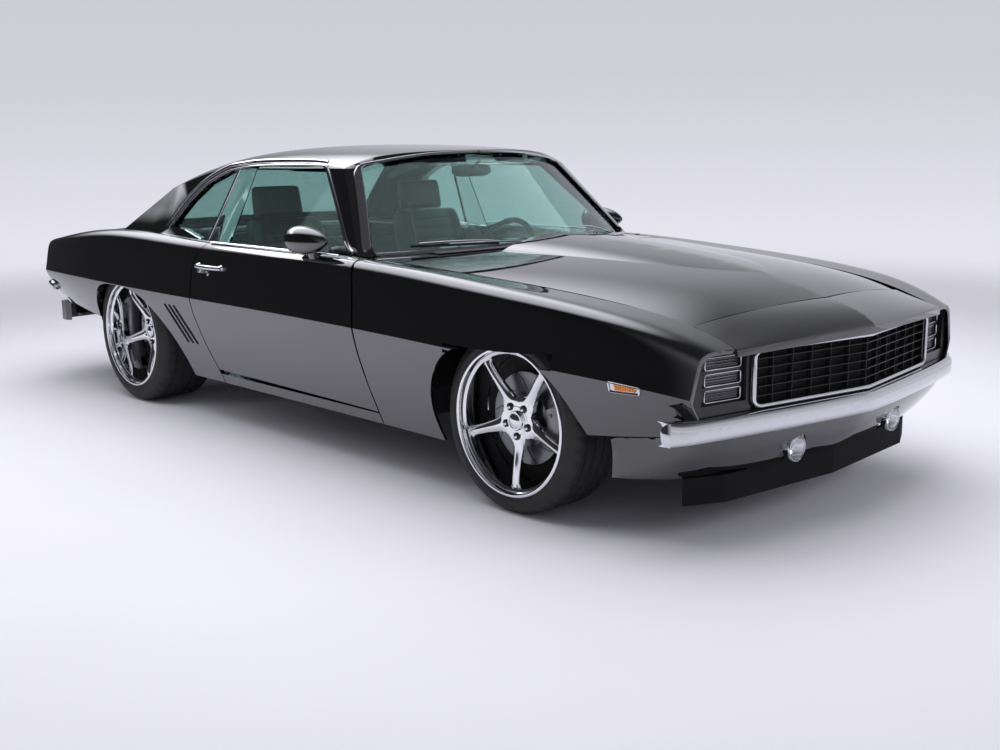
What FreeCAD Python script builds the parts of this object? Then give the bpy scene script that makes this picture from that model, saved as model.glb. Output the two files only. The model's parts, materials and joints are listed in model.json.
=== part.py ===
import FreeCAD, Part
import math
import os
import Sketcher
from FreeCAD import Placement, Rotation, Vector

# Two-door hardtop muscle car, in millimetres, +Z up, nose towards -Y, left side towards +X.
# All stations are distances behind the front axle line; the finished pieces are moved so that
# the origin lies on the ground under the middle of the car.

SIZES = {
    # main dimensions
    "wheelbase": 2743,
    "front_overhang": 915,
    "rear_overhang": 1066,
    "half_width": 940,
    "belt_height": 848,
    "roof_height": 1273,
    "sill_height": 200,
    # panels and gaps
    "panel_wall": 14,
    "quarter_wall": 30,
    "lid_wall": 22,
    "hood_rear_gap": 11,
    "lid_front_gap": 10,
    "neck_reach": 150,
    "neck_drop": 20,
    "neck_wall": 12,
    "neck_bar": 8,
    "neck_eye": 12,
    "neck_pin": 6,
    "hood_neck_place": 600,
    "lid_neck_place": 450,
    "panel_gap": 7,
    "fixed_gap": 0.3,
    "overrun": 400,
    "bevel": 3,
    # doors
    "door_wall": 120,
    "door_inner": 762,
    "door_flange": 18,
    "door_front": 815,
    "door_rear": 2047,
    "door_foot": 250,
    "hinge_setback": 75,
    "hinge_inset": 101,
    "hinge_pin": 6,
    "hinge_barrel": 13,
    "hinge_height": 34,
    "hinge_low": 380,
    "hinge_high": 634,
    "pin_gap": 0.3,
    "glass_wall": 5,
    # lids
    "hood_front": 625,
    "hood_nose": 86,
    "hood_rear": 700,
    "hood_bow": 140,
    "hood_half": 640,
    "hood_pivot_height": 860,
    "lid_front": 3012,
    "lid_rear": 3672,
    "lid_half": 690,
    # nose
    "face_top": 655,
    "face_foot": 452,
    "grille_half": 545,
    "grille_rim": 14,
    "grille_depth": 40,
    "grille_bar": 4,
    "cover_half": 190,
    "bumper_height": 78,
    "bumper_wall": 26,
    "front_bumper_foot": 372,
    "rear_bumper_foot": 469,
    "valance_wall": 10,
    "fog_place": 309,
    "fog_height": 288,
    "fog_radius": 48,
    "fog_reach": 800,
    "fog_length": 90,
    "marker_front": 606,
    "marker_rear": 498,
    "marker_foot": 522,
    "marker_top": 556,
    # greenhouse
    "roof_wall": 34,
    "screen_base_half": 788,
    "screen_top_half": 626,
    "glass_base_half": 806,
    "glass_top_half": 650,
    "screen_bow": 272,
    # tyres and wheels
    "front_tyre_radius": 332,
    "rear_tyre_radius": 346,
    "front_tyre_width": 245,
    "rear_tyre_width": 305,
    "front_tyre_outer": 870,
    "rear_tyre_outer": 890,
    "rim_radius": 263,
    "rim_lip": 12,
    "barrel_radius": 240,
    "barrel_wall": 7,
    "bead_radius": 250,
    "tyre_shoulder": 24,
    "hub_radius": 42,
    "spoke_wall": 26,
    "spoke_root": 74,
    "spoke_tip": 30,
    "front_dish": 62,
    "rear_dish": 130,
    "bore_radius": 14,
    "disc_radius": 170,
    "disc_wall": 24,
    # running gear
    "kingpin_offset": 712,
    "kingpin_radius": 11,
    "spindle_radius": 13.7,
    "knuckle_half": 95,
    "arm_wall": 22,
    "axle_tube": 40,
    "spring_width": 64,
    "spring_wall": 28,
    # underbody
    "floor_wall": 16,
    "floor_height": 212,
    "trunk_floor": 440,
    "tunnel_half": 130,
    "tunnel_height": 215,
    "floor_half": 760,
    "plate_spacing": 178,
    "plate_height": 372,
    "plate_hole": 3.5,
}

doc = FreeCAD.newDocument("muscle_car")
sheet = doc.addObject("Spreadsheet::Sheet", "Sizes")
for row, (alias, value) in enumerate(SIZES.items(), 1):
    sheet.set("A%d" % row, alias)
    sheet.set("B%d" % row, str(value))
    sheet.setAlias("B%d" % row, alias)
doc.recompute()


class Measures:
    """The sheet's values by name."""

    def __getattr__(self, name):
        return float(sheet.get(name))


size = Measures()

axle_place = -(size.wheelbase + size.rear_overhang - size.front_overhang) / 2
pieces = []


# Helpers

def keep(name, shape):
    """One finished piece of the car, moved from axle stations to the car's own origin."""
    feature = doc.addObject("Part::Feature", name)
    feature.Label = name
    feature.Shape = shape
    feature.Placement = Placement(Vector(0, axle_place, 0), Rotation())
    pieces.append(feature)
    return feature


def mirrored(shape):
    return shape.mirror(Vector(0, 0, 0), Vector(1, 0, 0))


def both(shape):
    return Part.makeCompound([shape, mirrored(shape)])


def fused(*shapes):
    first, rest = shapes[0], list(shapes[1:])
    return first.fuse(rest).removeSplitter()


def polygon(points, closed=True):
    points = [Vector(*point) for point in points]
    if closed:
        points.append(points[0])
    return Part.makePolygon(points)


def side_prism(outline, low, high):
    """An outline of (station, height) points, extruded across the car."""
    face = Part.Face(polygon([(low, y, z) for y, z in outline]))
    return face.extrude(Vector(high - low, 0, 0))


def plan_prism(outline, low, high):
    """An outline of (half width, station) points, extruded upwards."""
    face = Part.Face(polygon([(x, y, low) for x, y in outline]))
    return face.extrude(Vector(0, 0, high - low))


def front_prism(outline, low, high):
    """An outline of (half width, height) points, extruded backwards."""
    face = Part.Face(polygon([(x, low, z) for x, z in outline]))
    return face.extrude(Vector(0, high - low, 0))


def box(x_low, x_high, y_low, y_high, z_low, z_high):
    return Part.makeBox(x_high - x_low, y_high - y_low, z_high - z_low, Vector(x_low, y_low, z_low))


def rod(start, end, radius):
    start, end = Vector(*start), Vector(*end)
    return Part.makeCylinder(radius, (end - start).Length, start, end - start)


def knots(count, degree):
    spans = count - degree
    places = [step / spans for step in range(spans + 1)]
    return places, [degree + 1] + [1] * (spans - 1) + [degree + 1]


def net_face(net):
    """A smooth face held by a net of control points."""
    across, along = min(3, len(net) - 1), min(3, len(net[0]) - 1)
    across_knots, across_counts = knots(len(net), across)
    along_knots, along_counts = knots(len(net[0]), along)
    surface = Part.BSplineSurface()
    poles = [[Vector(*point) for point in line] for line in net]
    surface.buildFromPolesMultsKnots(poles, across_counts, along_counts, across_knots, along_knots,
                                     False, False, across, along)
    return surface.toShape()


# Lines plan of the body side, from nose to tail: stations as shares of the wheelbase behind the
# front axle, half widths as shares of the half width, heights as shares of the belt height.

station_shares = (-0.277, -0.216, -0.128, 0.0, 0.146, 0.303, 0.51, 0.744, 0.911, 1.057, 1.203, 1.312, 1.369)
width_shares = (0.872, 0.945, 0.98, 1.0, 0.994, 0.987, 0.989, 0.992, 0.998, 0.998, 0.986, 0.955, 0.925)
crease_shares = (0.61, 0.645, 0.66, 0.672, 0.684, 0.691, 0.698, 0.696, 0.7, 0.705, 0.71, 0.706, 0.7)
shoulder_shares = (0.779, 0.858, 0.908, 0.942, 0.972, 0.998, 1.0, 0.998, 1.014, 1.02, 0.98, 0.926, 0.9)
sill_shares = (0.43, 0.34, 0.26, 0.212, 0.208, 0.208, 0.208, 0.212, 0.222, 0.27, 0.36, 0.46, 0.53)
seam_shares = (0.682, 0.685, 0.733, 0.765, 0.81, 0.858, 0.867, 0.867, 0.858, 0.83, 0.79, 0.775, 0.765)
nose_sweep_shares = (0.185, 0.12, 0.05, 0, 0, 0, 0, 0, 0, 0, 0, -0.06, -0.2)

# Points of one cross section between the named lines: (inset from the crease as a share of the
# half width, height between the two lines it lies between)
lower_section_shares = ((0.105, 0.0), (0.048, 0.42), (0.012, 0.8), (0.0, 1.0))
upper_section_shares = ((0.0, 0.0), (0.016, 0.42), (0.026, 0.74), (0.045, 0.95), (0.1, 1.02))


def section_points(number):
    station = station_shares[number] * size.wheelbase
    width = width_shares[number] * size.half_width
    crease = crease_shares[number] * size.belt_height
    shoulder = shoulder_shares[number] * size.belt_height
    sill = sill_shares[number] * size.belt_height
    seam = seam_shares[number] * size.half_width

    def swept(x, z):
        return x, station - nose_sweep_shares[number] * (width - x), z

    lower = [swept(width - inset * size.half_width, sill + rise * (crease - sill))
             for inset, rise in lower_section_shares]
    upper = [swept(width - inset * size.half_width, crease + rise * (shoulder - crease))
             for inset, rise in upper_section_shares]
    upper.append(swept((seam + upper[-1][0]) / 2, shoulder * 1.0 + (shoulder - upper[-1][2]) * 0))
    upper.append(swept(seam, shoulder))
    return lower, upper


sections = [section_points(number) for number in range(len(station_shares))]


def body_side(depth, rise):
    """The left body side as a skin swept inwards by depth and downwards by rise."""
    sweep = Vector(-depth, 0, -rise)
    lower = net_face([[section[0][line] for section in sections] for line in range(4)])
    upper = net_face([[section[1][line] for section in sections] for line in range(7)])
    return fused(lower.extrude(sweep), upper.extrude(sweep))


fender_skin = body_side(size.panel_wall, size.panel_wall)
quarter_skin = body_side(size.quarter_wall, size.quarter_wall)
door_skin = body_side(size.door_wall * 1.6, size.door_wall * 1.35)
flange_skin = body_side(size.door_flange, size.door_flange)

far = size.half_width + size.overrun

# Wheel arches: (station, height) from the hub, as shares of the tyre radius, from the front foot
# over the flat top to the rear foot

front_arch_shares = ((-1.62, -0.9), (-1.36, -0.36), (-1.14, 0.02), (-0.92, 0.4), (-0.66, 0.66), (-0.36, 0.765),
                     (0.0, 0.78), (0.42, 0.77), (0.72, 0.7), (0.95, 0.52), (1.12, 0.24), (1.17, -0.05),
                     (1.1, -0.36), (1.0, -0.9))
rear_arch_shares = ((-1.62, -0.9), (-1.5, -0.2), (-1.2, 0.2), (-0.9, 0.44), (-0.66, 0.58), (-0.36, 0.68),
                    (0.0, 0.71), (0.4, 0.71), (0.7, 0.64), (0.9, 0.44), (0.98, 0.2), (0.96, -0.9))


def smooth_prism(outline, low, high):
    """A side prism whose outline is one smooth curve closed by a straight foot."""
    curve = Part.BSplineCurve()
    curve.interpolate([Vector(low, y, z) for y, z in outline])
    arch = curve.toShape()
    foot = Part.makeLine(arch.Vertexes[-1].Point, arch.Vertexes[0].Point)
    return Part.Face(Part.Wire([arch, foot])).extrude(Vector(high - low, 0, 0))


def arch(shares, hub_station, radius, grow=0):
    outline = [(hub_station + y * (radius + grow), radius + z * (radius + grow)) for y, z in shares]
    return smooth_prism(outline, size.half_width * 0.4, far)


front_arch = arch(front_arch_shares, 0, size.front_tyre_radius)
rear_arch = arch(rear_arch_shares, size.wheelbase, size.rear_tyre_radius)

# Door seams: (offset from the seam's station as a share of the belt height, height share)

front_seam_shares = ((0.075, 1.25), (0.06, 1.0), (0.024, 0.88), (0.0, 0.69), (-0.012, 0.57), (-0.04, 0.43),
                     (-0.075, 0.29), (-0.09, 0.22), (-0.1, 0.1))
rear_seam_shares = ((-0.1, 1.25), (-0.1, 1.0), (-0.05, 0.94), (-0.008, 0.86), (0.0, 0.69), (-0.006, 0.62),
                    (-0.06, 0.45), (-0.125, 0.31), (-0.16, 0.22), (-0.2, 0.1))


def seam(shares, station, shift=0):
    return [(station + y * size.belt_height + shift, z * size.belt_height) for y, z in shares]


front_seam = seam(front_seam_shares, size.door_front)
rear_seam = seam(rear_seam_shares, size.door_rear)


def at_height(line, height):
    """Station of a seam at a height."""
    for (y_high, z_high), (y_low, z_low) in zip(line, line[1:]):
        if z_low <= height <= z_high:
            share = (height - z_low) / (z_high - z_low)
            return y_low + share * (y_high - y_low)
    raise ValueError("height off the seam")


def skin_half_width(station, height):
    """Half width of the body at a station and height."""
    line = Part.makeLine(Vector(0, station, height), Vector(far, station, height))
    common = line.common(flange_skin)
    return max(vertex.Point.x for vertex in common.Vertexes)


# Door hinge line: upright, inboard of the crease and behind the front seam

hinge_x = size.half_width * width_shares[5] - size.hinge_inset
hinge_axis = Vector(0, 0, 1)
crease_height = crease_shares[5] * size.belt_height
hinge_point = Vector(hinge_x, size.door_front + size.hinge_setback, crease_height)


door_turn = math.radians(65)


def on_hinge(height):
    along = (height - hinge_point.z) / hinge_axis.z
    return hinge_point + hinge_axis * along


def door_sweep():
    """The space that the door's front edge turns in, with its clearance."""
    profile = []
    for height in (sill_shares[5] * size.belt_height * 0.95, size.door_foot, 0.43 * size.belt_height,
                   0.57 * size.belt_height, crease_height, 0.77 * size.belt_height, 0.84 * size.belt_height,
                   0.89 * size.belt_height, 0.93 * size.belt_height, 0.96 * size.belt_height,
                   0.985 * size.belt_height):
        radius = 0
        station = at_height(front_seam, height)
        for step in range(9):
            place = station + step * size.hinge_setback / 4
            edge = Vector(skin_half_width(place, height), place, height) - on_hinge(height)
            if step == 0:
                first = edge
            if first.getAngle(edge) <= door_turn:
                radius = max(radius, edge.Length)
        profile.append((on_hinge(height).z - hinge_point.z, radius + size.panel_gap))
    base = hinge_point
    points = [base + hinge_axis * (profile[0][0] - size.overrun / 4)]
    points.append(points[0] + Vector(1, 0, 0) * profile[0][1])
    points += [base + hinge_axis * along + Vector(1, 0, 0) * radius for along, radius in profile]
    points.append(base + hinge_axis * (profile[-1][0] + size.overrun / 4) + Vector(1, 0, 0) * profile[-1][1])
    points.append(base + hinge_axis * (profile[-1][0] + size.overrun / 4))
    face = Part.Face(Part.makePolygon(points + [points[0]]))
    return face.revolve(base, hinge_axis, 360)


sweep = door_sweep()

seam_poles = [Vector(*section[1][6]) for section in sections]
seam_curve = Part.BSplineCurve()
seam_places, seam_counts = knots(len(seam_poles), 3)
seam_curve.buildFromPolesMultsKnots(seam_poles, seam_counts, seam_places, False, 3)
seam_trace = seam_curve.toShape().discretize(400)


def seam_half(station):
    """Half width of the seam between body side and top at a station."""
    for start, end in zip(seam_trace, seam_trace[1:]):
        if start.y <= station <= end.y:
            return start.x + (end.x - start.x) * (station - start.y) / (end.y - start.y)
    raise ValueError("station off the seam")


cowl_rear = 0.34 * size.wheelbase
well_front = -0.25 * size.wheelbase
seam_steps = [well_front + (cowl_rear + size.panel_gap - well_front) * step / 14 for step in range(15)]
well_edge = [(0, -size.front_overhang)] + [(seam_half(station), station) for station in seam_steps]
well = plan_prism(well_edge + [(0, seam_steps[-1])], 0, size.belt_height * 2)

# Panels of the body side

low_sill = size.sill_height
door_outline = seam(front_seam_shares[:7], size.door_front) + [
    (at_height(front_seam, size.door_foot), size.door_foot),
    (at_height(rear_seam, size.door_foot + 14), size.door_foot + 14)]
door_outline += list(reversed(seam(rear_seam_shares[:8], size.door_rear)))
behind_hinge = [(on_hinge(z).y - size.hinge_barrel * 1.3, z) for z in (0, size.belt_height * 1.3)]
thick = door_skin.common(side_prism(door_outline, size.half_width * 0.5, far))
thick = thick.common(side_prism([behind_hinge[0], behind_hinge[1], (size.wheelbase, size.belt_height * 1.3),
                                 (size.wheelbase, 0)], hinge_x - size.hinge_barrel, far))
door_cuts = []
for z in (size.hinge_low, size.hinge_high):
    axis_point = on_hinge(z)
    bore = Part.makeCylinder(size.hinge_pin + size.pin_gap, size.hinge_height * 2,
                             axis_point - hinge_axis * 12, hinge_axis)
    pocket = Part.makeCylinder(size.hinge_barrel + 30, size.hinge_height + 24,
                               axis_point - hinge_axis * 20, hinge_axis)
    barrel = Part.makeCylinder(size.hinge_barrel, size.hinge_height - 6,
                               axis_point + hinge_axis * 3, hinge_axis)
    leaf = box(axis_point.x - 5, axis_point.x + 5, axis_point.y, axis_point.y + 90,
               z + 6, z + size.hinge_height - 6)
    thick = thick.cut(pocket)
    door_cuts.append((bore, barrel, leaf))
deep = door_skin.common(side_prism(door_outline, size.door_inner, far))
behind_post = [(y + size.hinge_barrel * 7, z) for y, z in behind_hinge]
deep = deep.common(side_prism(behind_post + [(size.wheelbase, size.belt_height * 1.3), (size.wheelbase, 0)],
                              size.door_inner, far))
flange = flange_skin.common(side_prism(door_outline, size.half_width * 0.5, far))
door = fused(thick, deep, flange).cut(well)

nose_station = -size.front_overhang
fender_outline = [(nose_station - size.overrun, 0.462 * size.belt_height), (-700, 0.458 * size.belt_height),
                  (-380, 0.415 * size.belt_height), (0, 0.415 * size.belt_height), (0, low_sill)]
fender_outline += [(at_height(front_seam, low_sill) - size.panel_gap, low_sill)]
fender_outline += list(reversed(seam(front_seam_shares[:7], size.door_front, -size.panel_gap)))
fender_outline += [(nose_station - size.overrun, front_seam[0][1])]
fender = fender_skin.common(side_prism(fender_outline, 0, far)).cut(front_arch).cut(sweep)
# the upper edge beside the hood is upright, and the wall thins out over the turning tyre
fender = fender.cut(well)
lock_line = [(0.7, 1.68), (0.995, 1.68), (0.995, 1.775), (0.968, 1.87), (0.92, 2.0), (0.7, 2.08)]
lock_room = front_prism([(x * size.half_width, z * size.front_tyre_radius) for x, z in lock_line],
                        -0.8 * size.front_tyre_radius, 0.8 * size.front_tyre_radius)
fender = fender.cut(lock_room)

quarter_outline = [(at_height(rear_seam, low_sill) + size.panel_gap, low_sill), (size.wheelbase, low_sill),
                   (size.wheelbase, 0.45 * size.belt_height), (size.wheelbase + 260, 0.46 * size.belt_height),
                   (size.wheelbase + size.rear_overhang + size.overrun, 0.6 * size.belt_height),
                   (size.wheelbase + size.rear_overhang + size.overrun, 1.25 * size.belt_height)]
quarter_outline += seam(rear_seam_shares[:8], size.door_rear, size.panel_gap)
quarter = quarter_skin.common(side_prism(quarter_outline, 0, far)).cut(rear_arch)

rocker_top = size.door_foot - size.panel_gap
rocker_outline = [(at_height(front_seam, low_sill), low_sill), (at_height(rear_seam, low_sill) , low_sill),
                  (at_height(rear_seam, rocker_top), rocker_top), (at_height(front_seam, rocker_top), rocker_top)]
rocker = door_skin.common(side_prism(rocker_outline, size.floor_half + size.fixed_gap, far))

keep("fenders", both(fender))
keep("quarters", both(quarter))
keep("rockers", both(rocker))
keep("door_left", door)
keep("door_right", mirrored(door))


# Hood, cowl and deck: the top surface between the body sides

def top_line(number, crown):
    """Control points across one section, from the left seam to the middle line."""
    station = station_shares[number] * size.wheelbase
    shoulder = shoulder_shares[number] * size.belt_height
    seam_half = seam_shares[number] * size.half_width
    return [(seam_half * half, station, shoulder + crown * rise)
            for half, rise in ((1.0, 0.0), (0.7, 0.6), (0.35, 0.9), (0.0, 1.0))]


hood_crown_shares = (0.085, 0.088, 0.085, 0.08, 0.062, 0.02, 0.02)
deck_crown_shares = (0.03, 0.03, 0.03, 0.028, 0.026, 0.024)
hood_lines = [top_line(number, share * size.belt_height) for number, share in enumerate(hood_crown_shares)]
deck_lines = [top_line(number + 7, share * size.belt_height) for number, share in enumerate(deck_crown_shares)]


def top_skin(lines, wall):
    left = net_face(lines).extrude(Vector(0, 0, -wall))
    return fused(left, mirrored(left))


hood_skin = top_skin(hood_lines, size.lid_wall)
cowl_skin = top_skin(hood_lines, size.lid_wall)
deck_skin = top_skin(deck_lines, size.lid_wall)


def symmetric(outline):
    """Closes a left-hand outline of (half width, station) points over the middle line."""
    return outline + [(-x, y) for x, y in reversed(outline) if x > 0]


def hood_outline(grow, rear_grow):
    front, rear = -size.hood_front - grow, size.hood_rear + rear_grow
    edge = [(0, front - size.hood_nose), (size.hood_half * 0.5, front - size.hood_nose * 0.62)]
    steps = 9
    for step in range(steps):
        station = front + (rear - front) * step / (steps - 1)
        edge.append((seam_half(station) + grow, station))
    edge += [(0.4 * size.half_width, rear - size.hood_bow * 0.8), (0, rear - size.hood_bow)]
    return symmetric(edge)


def hood_rear_edge(half, gap):
    """Station of the line between hood and cowl at a half width."""
    corner = seam_half(size.hood_rear)
    share = (corner - half) / (corner - 0.4 * size.half_width)
    return size.hood_rear + gap - size.hood_bow * 0.8 * share


low, high = 0, size.belt_height * 2
hood_plan = hood_outline(-size.panel_gap, -size.hood_rear_gap)
hood = hood_skin.common(plan_prism(hood_plan, low, high))

# Raised middle of the hood, open at the back towards the cowl
bulge_shares = ((0.0, -0.15, 0.08), (0.12, -0.14, 0.078), (0.34, 0.0, 0.06), (0.37, 0.236, 0.055))
bulge_shares = ((-0.165, ((0, 0.97), (0.2, 0.955), (0.3, 0.92))),
                (-0.09, ((0, 1.025), (0.24, 1.01), (0.33, 0.97))),
                (0.08, ((0, 1.068), (0.3, 1.055), (0.36, 1.0))),
                (0.204, ((0, 1.082), (0.32, 1.068), (0.4, 1.0))))
bulge_top = [[(x * size.half_width, y * size.wheelbase, z * size.belt_height) for x, z in line_shares]
             for y, line_shares in bulge_shares]
bulge_half = net_face(bulge_top).extrude(Vector(0, 0, -size.lid_wall * 1.2))
bulge = fused(bulge_half, mirrored(bulge_half)).common(plan_prism(hood_plan, low, high))
hood = fused(hood, bulge)

# Cowl between the hood and the windshield, with the firewall below it
cowl_edge = [(0, size.hood_rear - size.hood_bow), (0.4 * size.half_width, size.hood_rear - size.hood_bow * 0.8)]
for station in (size.hood_rear, size.hood_rear + 0.013 * size.wheelbase, size.hood_rear + 0.026 * size.wheelbase):
    cowl_edge.append((seam_half(station) - size.fixed_gap, station))
for station in (cowl_edge[-1][1] + 1, 0.32 * size.wheelbase, cowl_rear):
    cowl_edge.append((seam_half(station) - size.panel_gap, station))
cowl_outline = symmetric(cowl_edge + [(0, cowl_rear)])
cowl = cowl_skin.common(plan_prism(cowl_outline, low, high))
# room beside the cowl's ends for the doors' upper corners, which turn inwards
corner_height = 0.985 * size.belt_height
corner_place = at_height(front_seam, corner_height)
corner_reach = (Vector(seam_half(corner_place), corner_place, corner_height) - on_hinge(corner_height)).Length
corner_turn = rod(on_hinge(0.9 * size.belt_height), on_hinge(1.1 * size.belt_height), corner_reach + size.panel_gap)
cowl = cowl.cut(both(corner_turn))

# Goose-neck hinges of the hood and the trunk lid: the neck passes under the edge of the fixed panel
# (places along the neck and below the pivot, as shares of its reach)
neck_shares = ((0.0, 0.0), (0.08, -0.7), (0.25, -1.05), (0.62, -1.08), (0.98, -0.72), (1.17, -0.2), (1.17, 0.2))


def goose_neck(moving, fixed, skin, place, edge, way):
    """Adds the arm to the moving panel and the pin's bracket to the fixed one, on the left side."""
    pivot_y = edge - way * size.neck_reach
    probe = Part.makeLine(Vector(place, pivot_y, 0), Vector(place, pivot_y, high)).common(skin)
    under = min(vertex.Point.z for vertex in probe.Vertexes)
    pivot_z = under - size.neck_drop
    centre = [(pivot_y + way * y * size.neck_reach, pivot_z + z * size.neck_reach) for y, z in neck_shares]
    links = []
    for start, end in zip(centre, centre[1:]):
        run, rise = end[0] - start[0], end[1] - start[1]
        length = math.hypot(run, rise)
        side_y, side_z = -rise / length * size.neck_bar, run / length * size.neck_bar
        links.append(side_prism([(start[0] + side_y, start[1] + side_z), (end[0] + side_y, end[1] + side_z),
                                 (end[0] - side_y, end[1] - side_z), (start[0] - side_y, start[1] - side_z)],
                                place, place + size.neck_wall))
    for y, z in centre[1:-1]:
        links.append(rod((place, y, z), (place + size.neck_wall, y, z), size.neck_bar))
    links.append(rod((place, pivot_y, pivot_z), (place + size.neck_wall, pivot_y, pivot_z), size.neck_eye))
    neck = fused(*links)
    above = skin.copy()
    above.translate(Vector(0, 0, size.lid_wall * 0.6))
    neck = neck.cut(above)
    neck = max(neck.Solids, key=lambda solid: solid.Volume)
    bore = rod((place - size.neck_wall, pivot_y, pivot_z), (place + size.neck_wall * 2, pivot_y, pivot_z),
               size.neck_pin + size.pin_gap)
    neck = neck.cut(bore)
    cheek = place + size.neck_wall + size.pin_gap * 3
    bracket = box(cheek, cheek + size.neck_wall, pivot_y - size.neck_eye, pivot_y + size.neck_eye,
                  pivot_z - size.neck_eye, under + size.lid_wall / 2)
    pin = rod((place - size.neck_bar / 2, pivot_y, pivot_z), (cheek, pivot_y, pivot_z), size.neck_pin)
    holder = fused(bracket, pin)
    return fused(moving, neck, mirrored(neck)), fused(fixed, holder, mirrored(holder))


hood, cowl = goose_neck(hood, cowl, hood_skin, size.hood_neck_place, hood_rear_edge(size.hood_neck_place, 0), -1)
keep("hood", hood)
keep("cowl", cowl)


# Deck between the quarters: filler panel behind the rear glass, then the trunk lid

def lid_outline(grow, front_grow):
    front, rear = size.lid_front - front_grow, size.lid_rear + grow
    return symmetric([(0, front), (size.lid_half + grow, front), (size.lid_half * 0.985 + grow, rear), (0, rear)])


trunk_lid = deck_skin.common(plan_prism(lid_outline(-size.panel_gap, -size.lid_front_gap), low, high))
deck_outline = symmetric([(0, 1.035 * size.wheelbase), (size.half_width, 1.035 * size.wheelbase),
                          (size.half_width, 1.36 * size.wheelbase), (0, 1.36 * size.wheelbase)])
deck = deck_skin.common(plan_prism(deck_outline, low, high)).cut(plan_prism(lid_outline(0, 0), low, high))
deck = deck.cut(quarter_skin).cut(mirrored(quarter_skin))
trunk_lid, deck = goose_neck(trunk_lid, deck, deck_skin, size.lid_neck_place, size.lid_front, 1)
keep("trunk_lid", trunk_lid)
keep("deck_panel", deck)


# Greenhouse: a block bounded by windshield, sides, roof and rear glass, hollowed by a smaller one

# Roof skin: stations as shares of the wheelbase and heights of its middle line as shares of the belt
# height; across, half widths and drops as shares of the half width at the drip rail
roof_line_shares = ((0.1, 1.24), (0.34, 1.452), (0.43, 1.5), (0.573, 1.506), (0.72, 1.504),
                    (0.87, 1.456), (1.1, 1.24))
roof_crown_shares = ((0.0, 0.0), (0.36, 0.002), (0.7, 0.03), (0.92, 0.075), (1.16, 0.2))


def greenhouse(inset):
    """The space under the roof, drawn in by the inset on every side."""
    top = size.roof_height - inset
    base_half = size.glass_base_half + size.fixed_gap - inset
    top_half = size.glass_top_half - inset
    low_z = size.belt_height * 0.96
    corner = 0.93 * size.roof_height - inset
    section = symmetric([(0, low_z), (base_half + (size.belt_height - low_z) * 0.475, low_z),
                         (top_half, corner), (top_half * 0.975, corner + (top - corner) * 0.2),
                         (top_half * 0.975, top * 1.02), (0, top * 1.02)])
    block = front_prism(section, 0.1 * size.wheelbase, 1.3 * size.wheelbase)
    # windshield and rear glass, each bowed in plan and leaning inwards
    rake = 1.14
    base_y = 0.232 * size.wheelbase + inset * 1.4
    bow = size.screen_bow
    bow_points = [(x * far, base_y + bow * (x * far / size.screen_base_half) ** 2)
                  for x in (-1.0, -0.75, -0.5, -0.25, 0, 0.25, 0.5, 0.75, 1.0)]

    def raked_face(points, rake_y):
        curve = Part.BSplineCurve()
        curve.interpolate([Vector(x, y - rake_y * 0.2 * size.belt_height, 0.8 * size.belt_height)
                           for x, y in points])
        return curve.toShape().extrude(Vector(0, rake_y * size.belt_height, size.belt_height))

    screen = raked_face(bow_points, rake).extrude(Vector(0, -size.wheelbase, 0))
    rear_y = 1.098 * size.wheelbase - inset * 1.6
    rear_points = [(x * far, rear_y - 0.3 * bow * (x * far / size.screen_base_half) ** 2)
                   for x in (-1.0, -0.75, -0.5, -0.25, 0, 0.25, 0.5, 0.75, 1.0)]
    rear = raked_face(rear_points, -1.75).extrude(Vector(0, size.wheelbase, 0))
    # the roof skin falls to the front, the rear and the sides
    skin = [[(half * size.glass_top_half, y * size.wheelbase,
              z * size.belt_height - inset - drop * size.glass_top_half) for y, z in roof_line_shares]
            for half, drop in roof_crown_shares]
    cap = net_face(skin).extrude(Vector(0, 0, size.belt_height))
    cap = fused(cap, mirrored(cap))
    return block.cut(screen).cut(rear).cut(cap)


outer = greenhouse(0)
inner = greenhouse(size.roof_wall)
shell = outer.cut(inner)

belt = size.belt_height
side_window = [(0.352, 1.0), (0.372, 1.04), (0.482, 1.385), (0.5, 1.402), (0.68, 1.395), (0.76, 1.365),
               (0.82, 1.29), (0.858, 1.19), (0.888, 1.064), (0.88, 1.05), (0.85, 1.045), (0.78, 1.0),
               (0.78, 0.9), (0.352, 0.9)]
window_outline = [(y * size.wheelbase, z * belt) for y, z in side_window]
window = side_prism(window_outline, 0, far)
screen_window = [(0, 0.9), (0.81, 0.9), (0.79, 1.03), (0.625, 1.395), (0.55, 1.42), (0.3, 1.455), (0, 1.465)]
screen_outline = symmetric([(x * size.half_width, z * belt) for x, z in screen_window])
screen_opening = front_prism(screen_outline, 0, 0.5 * size.wheelbase)
rear_window = [(0, 1.065), (0.72, 1.06), (0.58, 1.35), (0.5, 1.4), (0.3, 1.425), (0, 1.43)]
rear_outline = symmetric([(x * size.half_width, z * belt) for x, z in rear_window])
rear_opening = front_prism(rear_outline, 0.8 * size.wheelbase, 1.3 * size.wheelbase)
roof = shell.cut(both(window).childShapes()[0]).cut(mirrored(window)).cut(screen_opening).cut(rear_opening)
roof = roof.cut(box(-far, far, 0, size.wheelbase * 2, 0, belt + size.fixed_gap))
roof = roof.cut(deck_skin).cut(quarter_skin).cut(mirrored(quarter_skin)).cut(cowl_skin)
roof = max(roof.Solids, key=lambda solid: solid.Volume)
keep("roof", roof)

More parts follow.
